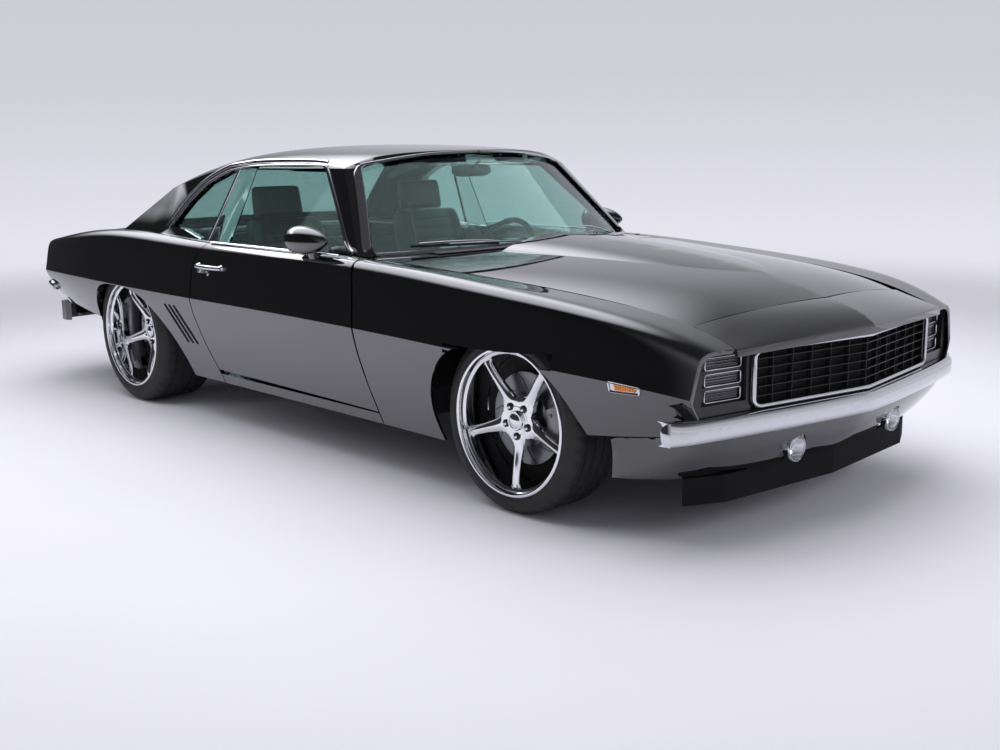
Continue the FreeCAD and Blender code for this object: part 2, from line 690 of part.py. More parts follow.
glass_skin = greenhouse(size.panel_wall).cut(greenhouse(size.panel_wall + size.glass_wall))
cowl_under = net_face(hood_lines).extrude(Vector(0, 0, -size.belt_height * 0.2))
cowl_under = fused(cowl_under, mirrored(cowl_under))
cowl_under.translate(Vector(0, 0, size.fixed_gap))
windshield = glass_skin.common(screen_opening).cut(cowl_under)
keep("windshield", max(windshield.Solids, key=lambda solid: solid.Volume))
rear_glass = glass_skin.common(rear_opening).cut(deck_skin)
keep("rear_glass", max(rear_glass.Solids, key=lambda solid: solid.Volume))
side_glass = glass_skin.common(window).cut(greenhouse(size.roof_wall + size.glass_wall))
side_glass = side_glass.cut(screen_opening).cut(rear_opening)
glass_foot = belt - 30
side_glass = side_glass.cut(box(0, far, 0, far * 9, 0, glass_foot))
split = size.door_rear - 0.055 * size.wheelbase
glass_front = box(0, far, 0, split - size.panel_gap / 2, 0, far * 9)
glass_rear = box(0, far, split + size.panel_gap / 2, size.wheelbase, 0, far * 9)
inset_window = window.copy()
inset_window.translate(Vector(0, size.panel_gap * 1.4, -size.panel_gap))
door_glass = side_glass.common(glass_front).common(inset_window)
door_glass = max(door_glass.Solids, key=lambda solid: solid.Volume)
quarter_glass = side_glass.common(glass_rear).cut(quarter_skin).cut(deck_skin)
quarter_glass = max(quarter_glass.Solids, key=lambda solid: solid.Volume)
slot_outer, slot_inner = size.panel_wall - size.fixed_gap, size.panel_wall + size.glass_wall + size.fixed_gap
glass_slot = greenhouse(slot_outer).cut(greenhouse(slot_inner))
glass_slot = glass_slot.common(box(0, far, 0, far * 9, glass_foot - size.fixed_gap, far))
keep("door_glass_left", door_glass)
keep("door_glass_right", mirrored(door_glass))
keep("quarter_glass", both(quarter_glass))


# Nose: header panel, headlamp bezels and covers, grille, bumper, valance and air dam

def vee(x, middle, slope=0.16):
    """Station of the V-shaped nose at a half width."""
    return middle + slope * x


half = size.hood_half
header_net = [[(half, -size.hood_front + 0.2, 0.842 * belt), (half, -0.262 * size.wheelbase, 0.81 * belt),
               (half, -0.288 * size.wheelbase, 0.785 * belt), (half, -0.292 * size.wheelbase, 0.775 * belt)],
              [(half / 2, -size.hood_front - 0.62 * size.hood_nose, 0.893 * belt),
               (half / 2, -0.285 * size.wheelbase, 0.86 * belt),
               (half / 2, -0.31 * size.wheelbase, 0.805 * belt), (half / 2, -0.311 * size.wheelbase, 0.785 * belt)],
              [(0, -size.hood_front - size.hood_nose, 0.888 * belt), (0, -0.302 * size.wheelbase, 0.868 * belt),
               (0, -0.328 * size.wheelbase, 0.812 * belt), (0, -0.329 * size.wheelbase, 0.79 * belt)]]
header_half = net_face(header_net).extrude(Vector(0, 0, -size.lid_wall))
header = fused(header_half, mirrored(header_half))
header = header.cut(fender_skin).cut(mirrored(fender_skin))
header = max(header.Solids, key=lambda solid: solid.Volume)
keep("header_panel", header)

face_middle = -0.3225 * size.wheelbase


def face_plate(x_low, x_high, z_low, z_high, set_back, wall):
    """An upright plate that follows the V of the nose, on the left side."""
    outline = [(x_low, vee(x_low, face_middle) + set_back), (x_high, vee(x_high, face_middle) + set_back),
               (x_high, vee(x_high, face_middle) + set_back + wall), (x_low, vee(x_low, face_middle) + set_back + wall)]
    return plan_prism(outline, z_low, z_high)


grille_low, grille_high = size.face_foot + 10, size.face_top - 12
outer_rim = face_plate(0, size.grille_half, grille_low, grille_high, 0, size.grille_depth)
inner_rim = face_plate(0, size.grille_half - size.grille_rim, grille_low + size.grille_rim,
                       grille_high - size.grille_rim, -size.overrun, size.overrun * 2)
rim_half = outer_rim.cut(inner_rim)
bars = []
columns, rows = 6, 6
bar_depth = size.grille_depth / 4
for column in range(columns):
    x = (size.grille_half - size.grille_rim) * column / columns
    bars.append(face_plate(x, x + size.grille_bar, grille_low, grille_high, size.grille_depth / 2, bar_depth))
for row in range(1, rows):
    z = grille_low + (grille_high - grille_low) * row / rows
    bars.append(face_plate(0, size.grille_half - size.grille_rim / 2, z, z + size.grille_bar,
                           size.grille_depth / 2, bar_depth))
grille_half_shape = rim_half.fuse(bars)
grille = fused(grille_half_shape, mirrored(grille_half_shape))
keep("grille", grille)

bezel_low, bezel_high = size.face_foot, size.face_top
bezel = face_plate(size.grille_half + size.fixed_gap, 0.84 * size.half_width, bezel_low, bezel_high, 10, 30)
cover_x = size.grille_half + 22
recess = face_plate(cover_x, cover_x + size.cover_half, bezel_low + 34, bezel_high - 14, -50, 178)
bezel = bezel.cut(recess).cut(fender_skin).cut(header)
bezel = max(bezel.Solids, key=lambda solid: solid.Volume)
cover = face_plate(cover_x + size.fixed_gap, cover_x + size.cover_half - size.fixed_gap,
                   bezel_low + 34 + size.fixed_gap, bezel_high - 14 - size.fixed_gap, 26, 14)
window_height = (bezel_high - bezel_low - 48) / 3
for number in range(3):
    foot = bezel_low + 38 + number * window_height
    cover = cover.cut(face_plate(cover_x + 10, cover_x + size.cover_half - 10, foot, foot + window_height - 8, 0, 32))
keep("headlamps", Part.makeCompound([bezel, cover, mirrored(bezel), mirrored(cover)]))

# A bumper blade bows forward between its turned-back edges (set back and height, as shares of its height)
blade_shares = ((0.34, 1.0), (0.0, 0.95), (0.0, 0.5), (0.0, 0.08), (0.26, 0.0))


def bumper(path_shares, tip, way, foot):
    """A chrome blade along a path of half widths and stations, turned to the front or the rear."""
    path = [(x * size.half_width, tip - way * y * size.wheelbase) for x, y in path_shares]
    net = [[(x, y - way * inset * size.bumper_height, foot + rise * size.bumper_height) for x, y in path]
           for inset, rise in blade_shares]
    blade = net_face(net).extrude(Vector(0, -way * size.bumper_wall, 0))
    blade = fused(blade, mirrored(blade)).cut(fender_skin).cut(mirrored(fender_skin))
    blade = blade.cut(quarter_skin).cut(mirrored(quarter_skin))
    return max(blade.Solids, key=lambda solid: solid.Volume)


front_path_shares = ((0, 0), (0.3, 0.0125), (0.6, 0.031), (0.84, 0.047), (0.905, 0.055), (0.93, 0.068))
front_bumper = bumper(front_path_shares, -size.front_overhang, -1, size.front_bumper_foot)
keep("bumper_front", front_bumper)

# Front valance: a smooth apron that carries the fender's lower edge round below the bumper
# (half width and station as shares; a missing half width lies on the fender's own surface)
valance_shares = (((0, -0.318, 0.44), (0.3, -0.3115, 0.44), (0.6, -0.2985, 0.445), (0.8, -0.283, 0.45),
                   (None, -0.262, 0.455), (None, -0.222, 0.45), (None, -0.168, 0.43)),
                  ((0, -0.309, 0.36), (0.3, -0.302, 0.36), (0.6, -0.289, 0.36), (0.78, -0.272, 0.36),
                   (0.865, -0.252, 0.37), (None, -0.218, 0.37), (None, -0.168, 0.36)),
                  ((0, -0.2785, 0.265), (0.3, -0.272, 0.265), (0.58, -0.2595, 0.265), (0.74, -0.237, 0.265),
                   (0.81, -0.215, 0.262), (0.85, -0.19, 0.258), (0.88, -0.165, 0.255)))
valance_net = []
for row_shares in valance_shares:
    row = []
    for x_share, y_share, z_share in row_shares:
        station, height = y_share * size.wheelbase, z_share * belt
        x = skin_half_width(station, height) if x_share is None else x_share * size.half_width
        row.append((x, station, height))
    valance_net.append(row)
valance = net_face(valance_net).extrude(Vector(-size.valance_wall, size.valance_wall, 0))
valance = fused(valance, mirrored(valance))
fog_x, fog_z, fog_radius, fog_front = size.fog_place, size.fog_height, size.fog_radius, -size.fog_reach
for side in (-1, 1):
    valance = valance.cut(rod((side * fog_x, -0.34 * size.wheelbase, fog_z), (side * fog_x, 0, fog_z), fog_radius))
valance = valance.cut(fender).cut(mirrored(fender)).cut(front_bumper)
valance = max(valance.Solids, key=lambda solid: solid.Volume)
keep("front_valance", valance)
fog = rod((fog_x, fog_front, fog_z), (fog_x, fog_front + size.fog_length, fog_z), fog_radius - size.fixed_gap)
keep("fog_lamps", both(fog))

dam_outline = [(0, -0.278 * size.wheelbase), (0.6 * size.half_width, -0.2585 * size.wheelbase),
               (0.74 * size.half_width, -0.235 * size.wheelbase), (0.72 * size.half_width, -0.228 * size.wheelbase),
               (0.58 * size.half_width, -0.2505 * size.wheelbase), (0, -0.27 * size.wheelbase)]
dam = plan_prism(dam_outline, 0.155 * belt, 0.265 * belt - size.fixed_gap)
keep("air_dam", fused(dam, mirrored(dam)).cut(valance))

marker = box(0.945 * size.half_width, 0.985 * size.half_width, -size.marker_front, -size.marker_rear,
             size.marker_foot, size.marker_top)
keep("side_markers", both(marker.cut(fender_skin)))


# Tail: panel, lamps and bumper

tail_station = size.wheelbase * 1.352
tail_outline = [(0, tail_station + 30), (0.8 * size.half_width, tail_station),
                (0.88 * size.half_width, tail_station - 20), (0.88 * size.half_width, tail_station - 45),
                (0.8 * size.half_width, tail_station - 25), (0, tail_station + 5)]
tail = plan_prism(tail_outline, 0.5 * belt, 0.92 * belt)
tail = fused(tail, mirrored(tail)).cut(quarter_skin).cut(mirrored(quarter_skin)).cut(deck_skin)
tail = max(tail.Solids, key=lambda solid: solid.Volume)
lamp_low, lamp_high = 0.66 * belt, 0.8 * belt
lamp_box = box(0.36 * size.half_width, 0.8 * size.half_width, tail_station - 200, tail_station + 200,
               lamp_low, lamp_high)
tail = tail.cut(lamp_box).cut(mirrored(lamp_box))
keep("tail_panel", tail)
lamp_outline = [(0.36 * size.half_width + 0.3, tail_station + 20), (0.8 * size.half_width - 0.3, tail_station + 3),
                (0.8 * size.half_width - 0.3, tail_station - 30), (0.36 * size.half_width + 0.3, tail_station - 30)]
lamp = plan_prism(lamp_outline, lamp_low + 0.3, lamp_high - 0.3)
keep("tail_lamps", both(lamp))
rear_path_shares = ((0, 0), (0.5, 0.0048), (0.82, 0.0136), (0.897, 0.0216), (0.918, 0.0346), (0.922, 0.0546))
rear_end = size.wheelbase + size.rear_overhang
rear_bumper = bumper(rear_path_shares, rear_end, 1, size.rear_bumper_foot)
keep("bumper_rear", rear_bumper)
rear_path = [(x * size.half_width, rear_end - y * size.wheelbase) for x, y in rear_path_shares]
rear_valance = plan_prism([(x * 0.97, y - 60) for x, y in rear_path]
                          + [(x * 0.95 - 4, y - 85) for x, y in reversed(rear_path)],
                          0.38 * belt, 0.5 * belt - 0.3)
rear_valance = fused(rear_valance, mirrored(rear_valance)).cut(quarter_skin).cut(mirrored(quarter_skin))
for side in (-1, 1):
    hole_x = side * size.plate_spacing / 2
    rear_valance = rear_valance.cut(rod((hole_x, size.wheelbase, size.plate_height),
                                        (hole_x, size.wheelbase * 2, size.plate_height), size.plate_hole))
keep("rear_valance", max(rear_valance.Solids, key=lambda solid: solid.Volume))

# Sizes that carry both their value and the expression that binds them to the sheet

class Length:
    def __init__(self, value, text):
        self.value, self.text = value, text

    def __add__(self, other):
        return Length(self.value + as_length(other).value, "(%s + %s)" % (self.text, as_length(other).text))

    def __sub__(self, other):
        return Length(self.value - as_length(other).value, "(%s - %s)" % (self.text, as_length(other).text))

    def __mul__(self, share):
        return Length(self.value * share, "(%s * %r)" % (self.text, share))

    def __neg__(self):
        return self * -1


def as_length(value):
    return value if isinstance(value, Length) else Length(value, repr(value))


class Cells:
    def __getattr__(self, name):
        return Length(getattr(size, name), "Sizes." + name)


cell = Cells()
axle_cell = (cell.front_overhang - cell.wheelbase - cell.rear_overhang) * 0.5


def bind(thing, name, length):
    thing.setExpression(name, as_length(length).text)


def place(thing, x, y, z, rotation=None):
    """Puts a piece at a place behind the front axle, bound to the sheet."""
    spots = [as_length(x), axle_cell + y, as_length(z)]
    thing.Placement = Placement(Vector(*[spot.value for spot in spots]), rotation or Rotation())
    for name, spot in zip("xyz", spots):
        bind(thing, "Placement.Base." + name, spot)


def block(name, length, width, height, x, y, z, rotation=None):
    """A box centred across the car at x, from station y and height z; length runs along the car."""
    thing = doc.addObject("Part::Box", name)
    for prop, value in (("Length", width), ("Width", length), ("Height", height)):
        bind(thing, prop, value)
    place(thing, as_length(x) - as_length(width) * 0.5, y, z, rotation)
    return thing


def cylinder(name, radius, length, x, y, z, direction):
    thing = doc.addObject("Part::Cylinder", name)
    bind(thing, "Radius", radius)
    bind(thing, "Height", length)
    place(thing, x, y, z, Rotation(Vector(0, 0, 1), Vector(*direction)))
    return thing


def fusion(name, shapes):
    thing = doc.addObject("Part::MultiFuse", name)
    thing.Shapes = shapes
    thing.Label = name
    pieces.append(thing)
    return thing


def difference(name, base, tool):
    thing = doc.addObject("Part::Cut", name)
    thing.Base, thing.Tool = base, tool
    thing.Label = name
    return thing


def finished(thing, name):
    thing.Label = name
    pieces.append(thing)
    return thing


# Wheels: each rim and each tyre is one body, turned about its own Z axis, which points outwards

def line_sketch(body, name, role, points, lift=None):
    """A closed outline whose corners are bound to the sheet."""
    sketch = body.newObject("Sketcher::SketchObject", name)
    plane = [item for item in body.Origin.OriginFeatures if item.Role == role][0]
    sketch.AttachmentSupport = [(plane, "")]
    sketch.MapMode = "FlatFace"
    if lift is not None:
        sketch.AttachmentOffset = Placement(Vector(0, 0, as_length(lift).value), Rotation())
        bind(sketch, "AttachmentOffset.Base.z", lift)
    points = [(as_length(u), as_length(v)) for u, v in points]
    spots = [Vector(u.value, v.value, 0) for u, v in points]
    for start, end in zip(spots, spots[1:] + spots[:1]):
        sketch.addGeometry(Part.LineSegment(start, end), False)
    for number in range(len(points)):
        last = (number - 1) % len(points)
        sketch.addConstraint(Sketcher.Constraint("Coincident", last, 2, number, 1))
    for number, (u, v) in enumerate(points):
        for kind, length, axis in (("DistanceX", u, -2), ("DistanceY", v, -1)):
            if length.value == 0:
                sketch.addConstraint(Sketcher.Constraint("PointOnObject", number, 1, axis))
                continue
            index = sketch.addConstraint(Sketcher.Constraint(kind, -1, 1, number, 1, length.value))
            bind(sketch, "Constraints[%d]" % index, length)
    return sketch


def revolve(body, sketch, name):
    turn = body.newObject("PartDesign::Revolution", name)
    turn.Profile = sketch
    turn.ReferenceAxis = (sketch, ["V_Axis"])
    turn.Angle = 360
    return turn


def tyre(name, radius, width):
    body = doc.addObject("PartDesign::Body", name)
    seat, shoulder = cell.rim_radius + cell.fixed_gap, cell.tyre_shoulder
    wall = radius - cell.rim_radius
    upper = [(seat, -cell.fixed_gap), (seat + wall * 0.35, 0), (seat + wall * 0.75, -shoulder * 0.4),
             (radius, -shoulder * 1.4)]
    lower = [(r, -width - z) for r, z in reversed(upper)]
    profile = upper + lower
    revolve(body, line_sketch(body, name + "_profile", "XZ_Plane", profile), name + "_turn")
    return finished(body, name)


def rim(name, width, dish):
    body = doc.addObject("PartDesign::Body", name)
    lip, wall = cell.rim_lip, cell.barrel_wall
    low = -width
    profile = [(cell.rim_radius, 0), (cell.rim_radius, -lip), (cell.bead_radius, -lip),
               (cell.barrel_radius + wall, -lip * 3), (cell.barrel_radius + wall, low + lip * 3),
               (cell.bead_radius, low + lip), (cell.rim_radius, low + lip), (cell.rim_radius, low),
               (cell.barrel_radius, low), (cell.barrel_radius, -lip * 2), (cell.rim_radius - lip, 0)]
    revolve(body, line_sketch(body, name + "_barrel", "XZ_Plane", profile), name + "_barrel_turn")
    # hub, brake disc and its hat
    face = -dish
    inner = face - cell.spoke_wall * 1.5
    hub = [(cell.bore_radius, face + lip), (cell.hub_radius * 0.6, face + lip), (cell.hub_radius, face),
           (cell.spoke_root, face - lip), (cell.spoke_root, inner), (cell.disc_radius, inner),
           (cell.disc_radius, inner - cell.disc_wall), (cell.bore_radius, inner - cell.disc_wall)]
    revolve(body, line_sketch(body, name + "_hub", "XZ_Plane", hub), name + "_hub_turn")
    spoke = [(-cell.spoke_root * 0.5, cell.spoke_root * 0.6), (cell.spoke_root * 0.5, cell.spoke_root * 0.6),
             (cell.spoke_tip * 0.5, cell.barrel_radius + wall * 0.5),
             (-cell.spoke_tip * 0.5, cell.barrel_radius + wall * 0.5)]
    arm = body.newObject("PartDesign::Pad", name + "_spoke")
    arm.Profile = line_sketch(body, name + "_spoke_outline", "XY_Plane", spoke, face - cell.spoke_wall)
    bind(arm, "Length", cell.spoke_wall)
    star = body.newObject("PartDesign::PolarPattern", name + "_star")
    star.Originals = [arm]
    axis = [item for item in body.Origin.OriginFeatures if item.Role == "Z_Axis"][0]
    star.Axis = (axis, [""])
    star.Angle = 360
    star.Occurrences = 5
    body.Tip = star
    return finished(body, name)


for corner, side, station, radius, width, outer, dish in (
        ("front_left", 1, 0, cell.front_tyre_radius, cell.front_tyre_width, cell.front_tyre_outer, cell.front_dish),
        ("front_right", -1, 0, cell.front_tyre_radius, cell.front_tyre_width, cell.front_tyre_outer, cell.front_dish),
        ("rear_left", 1, cell.wheelbase, cell.rear_tyre_radius, cell.rear_tyre_width, cell.rear_tyre_outer,
         cell.rear_dish),
        ("rear_right", -1, cell.wheelbase, cell.rear_tyre_radius, cell.rear_tyre_width, cell.rear_tyre_outer,
         cell.rear_dish)):
    turned = Rotation(Vector(0, 0, 1), Vector(side, 0, 0))
    place(tyre("tyre_" + corner, radius, width), outer * side, station, radius, turned)
    place(rim("rim_" + corner, width, dish), outer * side, station, radius, turned)


# Knuckles: spindle into the hub, upright, kingpin into the control arms, and caliper

def knuckle(side, word):
    hub_face = cell.front_tyre_outer - cell.front_dish
    height = cell.front_tyre_radius
    spindle = cylinder("spindle_" + word, cell.spindle_radius, hub_face - cell.kingpin_offset,
                       cell.kingpin_offset * side, 0, height, (side, 0, 0))
    kingpin = cylinder("kingpin_" + word, cell.kingpin_radius, cell.knuckle_half * 2.6,
                       cell.kingpin_offset * side, 0, height - cell.knuckle_half * 1.3, (0, 0, 1))
    upright = cylinder("upright_" + word, cell.kingpin_radius * 2, cell.knuckle_half * 1.6,
                       cell.kingpin_offset * side, 0, height - cell.knuckle_half * 0.8, (0, 0, 1))
    return spindle, kingpin, upright


for side, word in ((1, "left"), (-1, "right")):
    fusion("knuckle_" + word, list(knuckle(side, word)))


def arms(side):
    """Upper and lower control arms, from the frame rail to the kingpin."""
    x = side * size.kingpin_offset
    result = []
    for share in (1, -1):
        z = size.front_tyre_radius + share * size.knuckle_half * 1.05 - size.arm_wall / 2
        eye = rod((x, 0, z), (x, 0, z + size.arm_wall), size.kingpin_radius * 2.2)
        legs = [plan_prism([(x, y * 0.1), (x, -y * 0.1), (side * 420, y - 25), (side * 420, y + 25)], z, z + size.arm_wall)
                for y in (120, -120)]
        arm = fused(eye, *legs)
        result.append(arm.cut(rod((x, 0, z - 50), (x, 0, z + 80), size.kingpin_radius + size.pin_gap)))
    return result


keep("control_arms", Part.makeCompound(arms(1) + arms(-1)))

# Front rails, crossmember, floor and firewall
rail = box(340, 419.7, -620, 575.7, 300, 400)
rail_low = box(340, 419.7, -100, 100, 220, 300)
rails = fused(rail, mirrored(rail), rail_low, mirrored(rail_low), box(-340, 340, -60, 60, 222, 300),
              box(-340, 340, -620, -560, 320, 380))
mount = box(250.3, 340, -30, 30, 362, 398)
rails = fused(rails, mount, mirrored(mount))
tower = box(360, 419.7, -150, 150, 399, 470)
rails = fused(rails, tower, mirrored(tower))
keep("front_rails", rails)

wall = size.floor_wall
low_z = size.floor_height
rear_axle = size.wheelbase
pan_outline = [(576, 790), (600, 790), (612, 336), (690, low_z + wall), (1972, low_z + wall), (2132, 346),
               (2420, size.trunk_floor + wall), (3640, size.trunk_floor + wall), (3640, size.trunk_floor),
               (2424, size.trunk_floor), (2140, 330), (1980, low_z), (684, low_z), (596, 330), (576, 340)]
floor = side_prism(pan_outline, -size.floor_half, size.floor_half)
tunnel_outline = [(-size.tunnel_half, low_z), (-size.tunnel_half * 0.7, low_z + size.tunnel_height),
                  (size.tunnel_half * 0.7, low_z + size.tunnel_height), (size.tunnel_half, low_z)]
tunnel = front_prism(tunnel_outline, 590, 2460)
tunnel_inner = front_prism([(x * 0.88, z - wall if z > low_z else z - 50) for x, z in tunnel_outline], 500, 2460)
floor = fused(floor, tunnel).cut(tunnel_inner)
wheel_room = box(540, far, rear_axle - 420, rear_axle + 400, 0, 900)
floor = floor.cut(wheel_room).cut(mirrored(wheel_room))
floor = floor.cut(box(-size.floor_half, size.floor_half, 0, 900, 700, 1000).common(cowl_skin.fuse(hood_skin)))
keep("floor_pan", max(floor.Solids, key=lambda solid: solid.Volume))

house = rod((540.3, rear_axle, size.rear_tyre_radius), (850, rear_axle, size.rear_tyre_radius), 400)
house = house.cut(rod((552, rear_axle, size.rear_tyre_radius), (900, rear_axle, size.rear_tyre_radius), 386))
house = house.cut(box(0, far, 0, far * 9, 0, size.rear_tyre_radius + 20))
house = house.cut(quarter_skin).cut(rear_arch)
house = house.cut(box(0, far, 0, far * 9, 0, 0.1))
house = max(house.Solids, key=lambda solid: solid.Volume).cut(floor)
house = max(house.Solids, key=lambda solid: solid.Volume)

apron = side_prism([(-620, 380), (-420, 380), (-330, 600), (-200, 700), (200, 700), (330, 600), (420, 380), (576, 340),
                    (576, 770), (-620, 700)], 420, 432)
shelf_in = side_prism([(-420, 612), (-200, 712), (200, 712), (420, 612), (420, 600), (200, 700), (-200, 700),
                       (-420, 600)], 432, 930)
apron = fused(apron, shelf_in).cut(fender).cut(fender_skin).cut(hood_skin)
apron = max(apron.Solids, key=lambda solid: solid.Volume)
keep("wheelhouses", Part.makeCompound([apron, mirrored(apron), house, mirrored(house)]))

# Door pillars carry the hinges
pillar = box(690, 750, 760, 900, 228.3, 790)
pillar = pillar.cut(sweep.common(box(0, size.half_width, 0, size.wheelbase, 0, 350)))
pillar = pillar.cut(sweep.common(box(0, size.half_width, 0, size.door_front + size.panel_gap, 0, size.hinge_high)))
hinges = [pillar]
for z in (size.hinge_low, size.hinge_high):
    axis_point = on_hinge(z)
    arm = box(740, axis_point.x, axis_point.y - 12, axis_point.y + 12, z - 10, z)
    pin = Part.makeCylinder(size.hinge_pin, size.hinge_height + 5, axis_point - hinge_axis * 5, hinge_axis)
    knuckle_end = Part.makeCylinder(size.hinge_barrel, 10, axis_point - hinge_axis * 10, hinge_axis)
    hinges += [arm, pin, knuckle_end]
hinge_piece = fused(*hinges)
keep("door_pillars", both(hinge_piece))

for feature in list(pieces):
    if feature.Label == "door_left":
        shape = door
        shape = shape.cut(glass_slot)
        for bore, barrel, leaf in door_cuts:
            shape = shape.fuse([barrel, leaf]).cut(bore)
        shape = max(shape.removeSplitter().Solids, key=lambda solid: solid.Volume)
        feature.Shape = shape
        feature.Placement = Placement(Vector(0, axle_place, 0), Rotation())
    if feature.Label == "door_right":
        feature.Shape = mirrored(shape)
        feature.Placement = Placement(Vector(0, axle_place, 0), Rotation())

# Rear axle, springs, fuel tank, driveline, exhaust and engine
tube = rod((-680, rear_axle, size.rear_tyre_radius), (680, rear_axle, size.rear_tyre_radius), size.axle_tube)
reach = size.rear_tyre_outer - size.rear_dish
shaft = rod((-reach, rear_axle, size.rear_tyre_radius), (reach, rear_axle, size.rear_tyre_radius), size.spindle_radius)
ball = Part.makeSphere(86, Vector(0, rear_axle, size.rear_tyre_radius), Vector(1, 0, 0))
axle = fused(tube.cut(box(630, 700, 0, far * 9, 0, 900)).cut(box(-700, -630, 0, far * 9, 0, 900)), shaft, ball)
leaf_line = [(2170, 300), (2743, 276), (3400, 390), (3400, 414), (2743, 305), (2170, 324)]
leaf_spring = side_prism(leaf_line, 455, 515)
leaf_spring = leaf_spring.cut(rod((400, rear_axle, size.rear_tyre_radius),
                                  (600, rear_axle, size.rear_tyre_radius), size.axle_tube + 0.3))
hangers = [box(455, 515, 2170, 2196, 306, 400).cut(floor), box(455, 515, 3376, 3400, 400, 440)]
leaf_spring = fused(leaf_spring, *hangers)
leaf_spring = max(leaf_spring.Solids, key=lambda solid: solid.Volume)
keep("rear_axle", Part.makeCompound([axle, leaf_spring, mirrored(leaf_spring)]))
tank = block("fuel_tank_block", Length(620.0, "620"), Length(760.0, "760"), Length(170.0, "170"), 0, 3000, 269.7)
finished(tank, "fuel_tank")
engine = block("engine_block", Length(640.0, "640"), Length(500.0, "500"), Length(400.0, "400"), 0, -140, 330)
finished(engine, "engine_mass")
gearbox = rod((0, 500.3, 320), (0, 1200, 300), 82)
shaft = rod((0, 1200, 300), (0, 2620, 340), 35)
keep("driveline", fused(gearbox, shaft).cut(ball))
pipe_left = [rod((300, 500, 176), (300, 1900, 176), 28), rod((300, 1890, 176), (400, 2250, 200), 28),
             rod((330, 1100, 158), (330, 1500, 158), 46),
             box(294, 306, 700, 716, 190, 211.7), box(294, 306, 1800, 1816, 190, 211.7)]
keep("exhaust", both(fused(*pipe_left)))

# Interior
dash_front = cowl_rear + size.fixed_gap
dash = side_prism([(dash_front, 640), (1090, 640), (1130, 700), (1120, 790), (1060, 838), (dash_front, 838)], -690, 690)
keep("dashboard", dash)
wheel_centre = Vector(370, 1330, 745)
column_axis = Vector(0, 0.92, 0.39)
ring_side = Vector(1, 0, 0)
ring_points = [wheel_centre + ring_side * (185 + 14 * math.cos(math.radians(turn)))
               + column_axis * (14 * math.sin(math.radians(turn))) for turn in range(0, 360, 60)]
ring = Part.Face(Part.makePolygon(ring_points + ring_points[:1])).revolve(wheel_centre, column_axis, 360)
column = Part.makeCylinder(24, 260, wheel_centre - column_axis * 275, column_axis)
hub_disc = Part.makeCylinder(60, 20, wheel_centre - column_axis * 20, column_axis)
spokes = [rod((370 - 180, 1328, 745), (370 + 180, 1328, 745), 9)]
keep("steering_wheel", fused(ring, column, hub_disc, *spokes).cut(dash))


def seat(x_low, x_high):
    foot = size.floor_height + size.floor_wall + size.fixed_gap
    cushion = side_prism([(1380, foot), (1900, foot), (1880, 420), (1400, 460)], x_low, x_high)
    back = side_prism([(1810, 420.3), (1950, 420.3), (2060, 930), (1960, 930)], x_low + 10, x_high - 10)
    middle = (x_low + x_high) / 2
    head = side_prism([(1985, 929), (2070, 929), (2085, 1080), (2015, 1080)], middle - 130, middle + 130)
    return fused(cushion, back, head)


keep("seats_front", both(seat(200, 680)))
bench = side_prism([(2150, 340), (2300, 400), (2560, 450), (2700, 860), (2600, 860), (2480, 520), (2130, 520)], -530, 530)
bench = max(bench.cut(floor).Solids, key=lambda solid: solid.Volume)
keep("seat_rear", bench)
shelf_piece = box(-size.half_width, size.half_width, 2701, 2838, 838, 846).cut(quarter_skin).cut(mirrored(quarter_skin)).cut(roof)
keep("rear_shelf", max(shelf_piece.Solids, key=lambda solid: solid.Volume))
mirror_inside = box(-120, 120, 1130, 1150, 1130, 1190)
mirror_stem = rod((0, 1140, 1180), (0, 1100, 1240), 6)
keep("inside_mirror", fused(mirror_inside, mirror_stem).common(greenhouse(size.panel_wall + size.glass_wall + size.fixed_gap)))

blade = rod((120, 640, 885), (560, 760, 900), 7)
wiper_arm = rod((300, 640, 830), (330, 695, 893), 6)
wiper = fused(blade, wiper_arm).cut(cowl_skin).cut(cowl)
wiper = max(wiper.Solids, key=lambda solid: solid.Volume)
blade_two = rod((-520, 740, 900), (-60, 620, 885), 7)
arm_two = rod((-330, 650, 830), (-300, 688, 893), 6)
wiper_two = fused(blade_two, arm_two).cut(cowl_skin).cut(cowl)
wiper_two = max(wiper_two.Solids, key=lambda solid: solid.Volume)
keep("wipers", Part.makeCompound([wiper, wiper_two]))

fit = [rod((905, 1780, 744), (905, 2010, 744), 9)]
mirror_body = rod((905, 1130, 905), (905, 1210, 905), 48)
mirror_foot = box(855, 885, 1135, 1170, 800, 905)
mirror = fused(mirror_body, mirror_foot).cut(door_skin)
mirror = max(mirror.Solids, key=lambda solid: solid.Volume)
fittings = [fit[0].cut(door_skin), mirror]
keep("door_fittings_left", Part.makeCompound(fittings))
keep("door_fittings_right", mirrored(Part.makeCompound(fittings)))

doc.recompute()
os.makedirs("parts", exist_ok=True)
for thing in doc.Objects:
    if "Invalid" in thing.State or "Error" in thing.State:
        raise RuntimeError("%s did not build: %s" % (thing.Name, thing.State))
for feature in pieces:
    shape = feature.Shape
    if shape.isNull() or not shape.isValid():
        raise RuntimeError("%s has no valid shape" % feature.Label)
    shape.exportStep(os.path.join("parts", feature.Label + ".step"))
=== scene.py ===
import json
import math
import bmesh
import bpy
import numpy as np
from mathutils import Matrix, Vector
from mathutils.kdtree import KDTree

